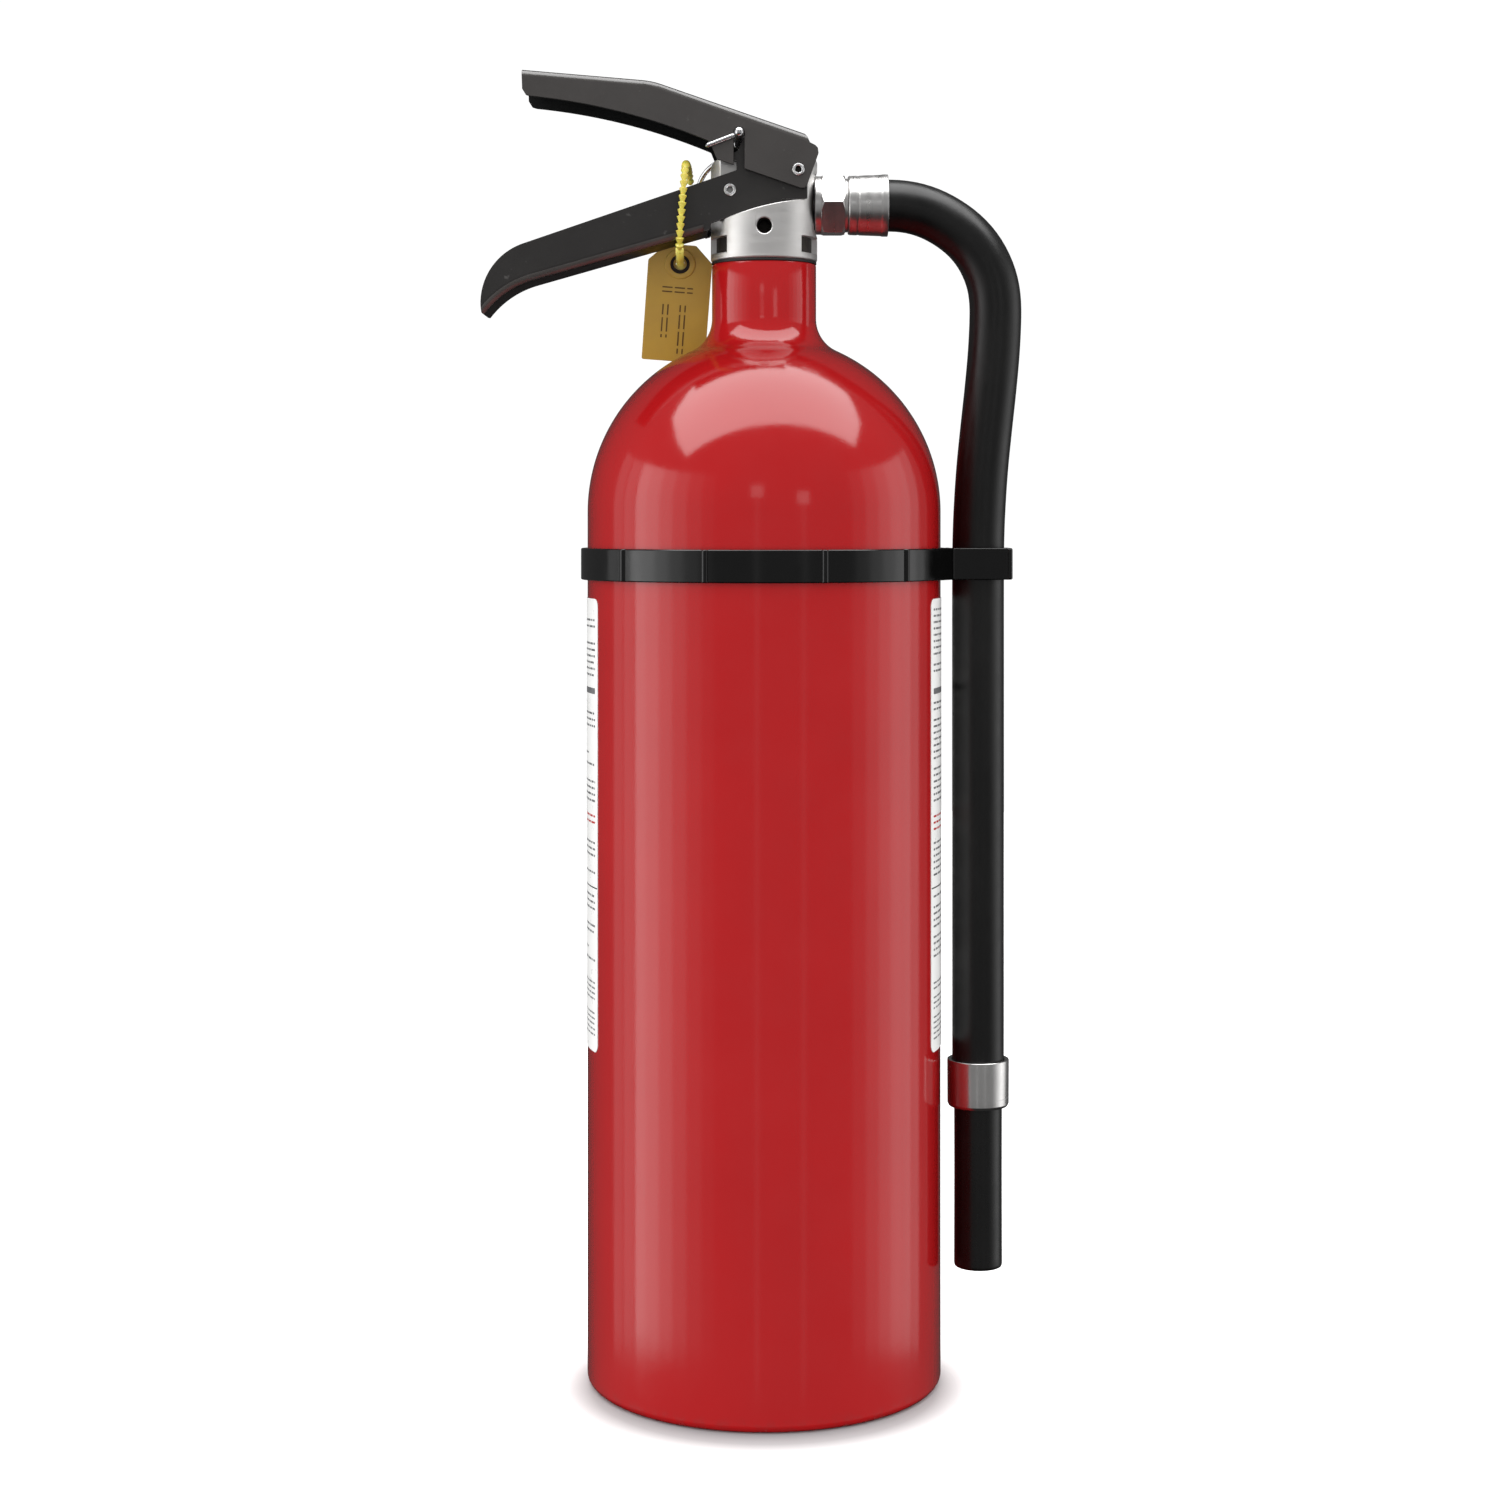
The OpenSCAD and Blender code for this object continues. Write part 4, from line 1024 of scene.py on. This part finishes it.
def gauge():
    z = NECK_TOP + GAUGE_Z
    b = GAUGE_BACK

    def placed(bm):
        return along_y(bm, 0, 0, z)

    case = spun([(1.2, 7.2), (4.5, 7.2), (4.5, b), (11.2, b, 0.8), (12.6, b + 0.9, 0.5), (GAUGE_R, b + 2, 0.4),
        (GAUGE_R, b + 8.8, 0), (12, b + 8.8, 0), (12, b + 1.8, 0.6), (1.2, b + 1.8)], 0.3, 4)
    piece("gauge_shell", placed(case), "chrome", ["gauge_case"])
    bezel = spun([(GAUGE_R + 0.05, b + 6.4), (GAUGE_R + 0.5, b + 6.4, 0.25), (GAUGE_R + 0.5, b + 8.9, 0.9),
        (12.3, b + 9.7, 0.6), (11.4, b + 9.55, 0.4), (11, b + 8.95, 0.1), (12.2, b + 8.85, 0.1),
        (GAUGE_R + 0.05, b + 8.85, 0)], 0.2, 5, 160)
    piece("gauge_rim", placed(bezel), "chrome", ["gauge_bezel"])
    lens = lathe([(0, b + 7.8), (11.9, b + 7.8), (11.9, b + 8.3), (11.0, b + 8.45), (8.0, b + 8.62),
        (4.0, b + 8.72), (0, b + 8.75)])
    piece("gauge_window", placed(lens), "lens", ["gauge_lens"])
    face = b + 6.2
    plate = spun([(0.9, b + 5.8), (11.9, b + 5.8), (11.9, face), (0.9, face)], 0.1, 2)

    # printed scale: coloured sectors, ticks, a ring and two short arcs, just off the face
    def sector(bm, r0, r1, a0, a1, y, index):
        """Angles are clockwise from the top for a reader at the front, who sees +X on the left."""
        n = max(1, int(abs(a1 - a0) / 3))
        rows = []
        for i in range(n + 1):
            a = radians(a0 + (a1 - a0) * i / n)
            rows.append([bm.verts.new((-r * sin(a), y, z + r * cos(a))) for r in (r0, r1)])
        grid(bm, rows, loop=False, index=index)

    placed(plate)
    sector(plate, 5.2, 9.4, -118, -40, face + 0.02, 1)
    sector(plate, 5.2, 9.4, -38, 38, face + 0.02, 2)
    sector(plate, 5.2, 9.4, 40, 118, face + 0.02, 1)
    sector(plate, 10.2, 10.5, 0, 360, face + 0.02, 3)
    for i in range(25):
        a = -120 + i * 10
        long = i % 4 == 0
        half = 1.2 if long else 0.7
        sector(plate, 9.3 if long else 9.7, 10.3, a - half, a + half, face + 0.03, 3)
    sector(plate, 6.2, 6.7, 158, 202, face + 0.02, 3)
    sector(plate, 7.3, 7.8, 166, 194, face + 0.02, 3)
    piece("gauge_face", plate, "dial ink_red ink_green ink_black", ["gauge_dial"])

    y = b + 6.7
    blade = prism([(-0.75, 0), (-0.22, 8.2), (0, 8.7), (0.22, 8.2), (0.75, 0), (1.0, -3.2), (0.4, -3.6),
        (-0.4, -3.6), (-1.0, -3.2)], y + 0.02, y + 0.38)
    soften(blade, 0.06, 35, 2)
    moved(blade, 0, 0, z)
    hub = placed(spun([(0, b + 3.4), (0.8, b + 3.4), (0.8, y), (1.7, y), (1.7, y + 0.5), (0.9, y + 0.7),
        (0, y + 0.7)], 0.15, 3, 48))
    piece("gauge_pointer", joined(blade, hub), "ink_black", ["gauge_needle"], body="needle")


# ---- pin, ring and seal

def pin_and_ring():
    z = NECK_TOP + PIN[1]
    shaft = lathe([(0, -15.4), (0.62, -15.3), (1.1, -14.95), (1.4, -14.4), (1.5, -13.8), (1.5, 10), (1.5, 13.4),
        (1.42, 14.3), (0, 14.6)], 40)
    along_y(shaft, PIN[0], 0, z)
    # flattened eye: the wire is struck flat and pierced
    eye_y, eye_z = EYE[0], NECK_TOP + EYE[1]
    outline = [(12.6, z - 1.45), (12.6, z + 1.45), (14.6, z + 1.5), (17.6, z + 0.6), (19.3, z - 1.4),
        (19.9, z - 3.4), (19.3, z - 5.2), (17.5, z - 5.85), (15.7, z - 5.2), (15.1, z - 3.5), (14.8, z - 1.6)]
    outline = rounded(outline, 1.2, 4)
    head = prism(outline, -1.25, 1.25)
    head.transform(Matrix(((0, 1, 0, 0), (1, 0, 0, 0), (0, 0, 1, 0), (0, 0, 0, 1))))
    face_out(head)
    head = combine(head, cut(along_x(rod(1.2, -5, 5, 40), 0, eye_y, eye_z)))
    soften(head, 0.35, 35, 3)
    moved(head, PIN[0])
    piece("safety_pin", joined(shaft, head), "wire", ["pull_pin"], 40, body="pin")

    # the ring: round wire with its two ends butted in a small weld
    bm = bmesh.new()
    rows, n = [], 180
    for i in range(n):
        a = 2 * pi * i / n
        off = abs((degrees(a) - 250 + 180) % 360 - 180)
        wire = 0.8 + 0.12 * exp(-(off / 3.0) ** 2) - 0.08 * exp(-((off - 5) / 2.0) ** 2)
        row = []
        for k in range(28):
            c = 2 * pi * k / 28
            r = RING_R + wire * cos(c)
            row.append(bm.verts.new((r * sin(a), wire * sin(c), r * cos(a) - RING_R)))
        rows.append(row)
    grid(bm, rows, True)
    bm.transform(Matrix.Translation((PIN[0], eye_y, eye_z)) @ Matrix.Rotation(radians(RING_LEAN), 4, "X"))
    face_out(bm)
    piece("finger_ring", bm, "wire", ["pull_ring"], body="ring")


def seal():
    def beads(s, a):
        # each bead is a small cone that grows along the strap and ends in a step
        phase = (s / 2.15) % 1.0
        return 0.58 + 0.72 * (phase / 0.84 if phase < 0.84 else (1.0 - phase) / 0.16)

    def route(points):
        return smooth_path([(x, y, z + NECK_TOP) for x, y, z in points], 0.18)

    piece("seal_strap_beads", tube(route(STRAP_ROUTE), beads, 14, (1, 0, 0)), "strap",
        ["seal_strap"], 60)
    piece("seal_strap_tail", tube(route(STRAP_END), beads, 14, (1, 0, 0)), "strap",
        ["seal_strap_end"], 60, body="ring")

    # tag: a moulded plate with a rim round its hole, a socket in the hole, and plain rules in place of print
    outline = rounded([(-10, -31.6, 0.6), (10, -31.6, 0.6), (10, 0.6, 1.0), (4.6, 6, 1.0), (-4.6, 6, 1.0),
        (-10, 0.6, 1.0)], 0.8, 4)
    plate = combine(prism(outline, -0.4, 0.4), cut(along_y(rod(3.9, -2, 2))))
    soften(plate, 0.14, 35, 2)
    boss = along_y(spun([(3.0, -0.9), (4.7, -0.9, 0.5), (4.85, -0.35, 0), (4.85, 0.35, 0), (4.7, 0.9, 0.5),
        (3.0, 0.9)], 0.3, 4, 64))
    print_rows = bmesh.new()
    dice = random.Random(3)

    def mark(x0, z0, x1, z1):
        for y in (-0.43, 0.43):
            vs = [print_rows.verts.new(p) for p in ((x0, y, z0), (x1, y, z0), (x1, y, z1), (x0, y, z1))]
            print_rows.faces.new(vs if y < 0 else vs[::-1])

    # pairs of rules that run down the tag, of uneven length, and a pair across it under the hole
    for x in (1.8, -3.6):
        z, low = -13.2, -29.0 if x > 0 else -24.0
        while z > low:
            step = dice.choice((2.2, 3.4, 4.6))
            for side in (-1.0, 0.55):
                mark(x + side, max(z - step, low), x + side + 0.45, z)
            z -= step + 0.9
    x = -5.0
    while x < 3.6:
        step = dice.choice((1.8, 2.6, 3.2))
        for side in (-9.3, -7.9):
            mark(x, side, min(x + step, 4.6), side + 0.45)
        x += step + 0.7
    dark = along_y(spun([(2.1, -0.75), (3.25, -0.75), (3.25, 0.75), (2.1, 0.75)], 0.2, 3, 48))
    backing = along_y(lathe([(1.35, 0.45), (2.2, 0.35), (2.2, 0.6), (1.35, 0.65)], 48))
    hang = Matrix.Translation((TAG_AT[0], TAG_AT[1], TAG_AT[2] + NECK_TOP))
    hang = hang @ Matrix.Rotation(radians(TAG_LEAN), 4, "X") @ Matrix.Rotation(radians(TAG_TILT), 4, "Y")
    plate = joined(plate, boss)
    for bm in (plate, print_rows, dark, backing):
        bm.transform(hang)
    piece("tag_plate", plate, "tag", ["seal_tag"], 35, True, body="tag")
    piece("tag_marks", print_rows, "tag_ink", body="tag")
    piece("tag_socket", dark, "seal", body="tag")
    piece("tag_backing", backing, "tag", body="tag")


# ---- inner CAD nodes keep their shape

def inner_nodes():
    looks = {"dry_chemical": "powder", "siphon_tube": "bare", "siphon_adapter": "ivory", "valve_spring": "steel",
        "stem_seal": "seal", "stem_o_ring": "seal", "bourdon_tube": "brass"}
    for node, look in looks.items():
        obj = frame["nodes"][node]
        obj.data.materials.clear()
        obj.data.materials.append(M[look])


make_materials()
camera_and_stage()
hose_pieces()
vessel()
label()
band()
valve()
handles()
gauge()
pin_and_ring()
seal()
inner_nodes()
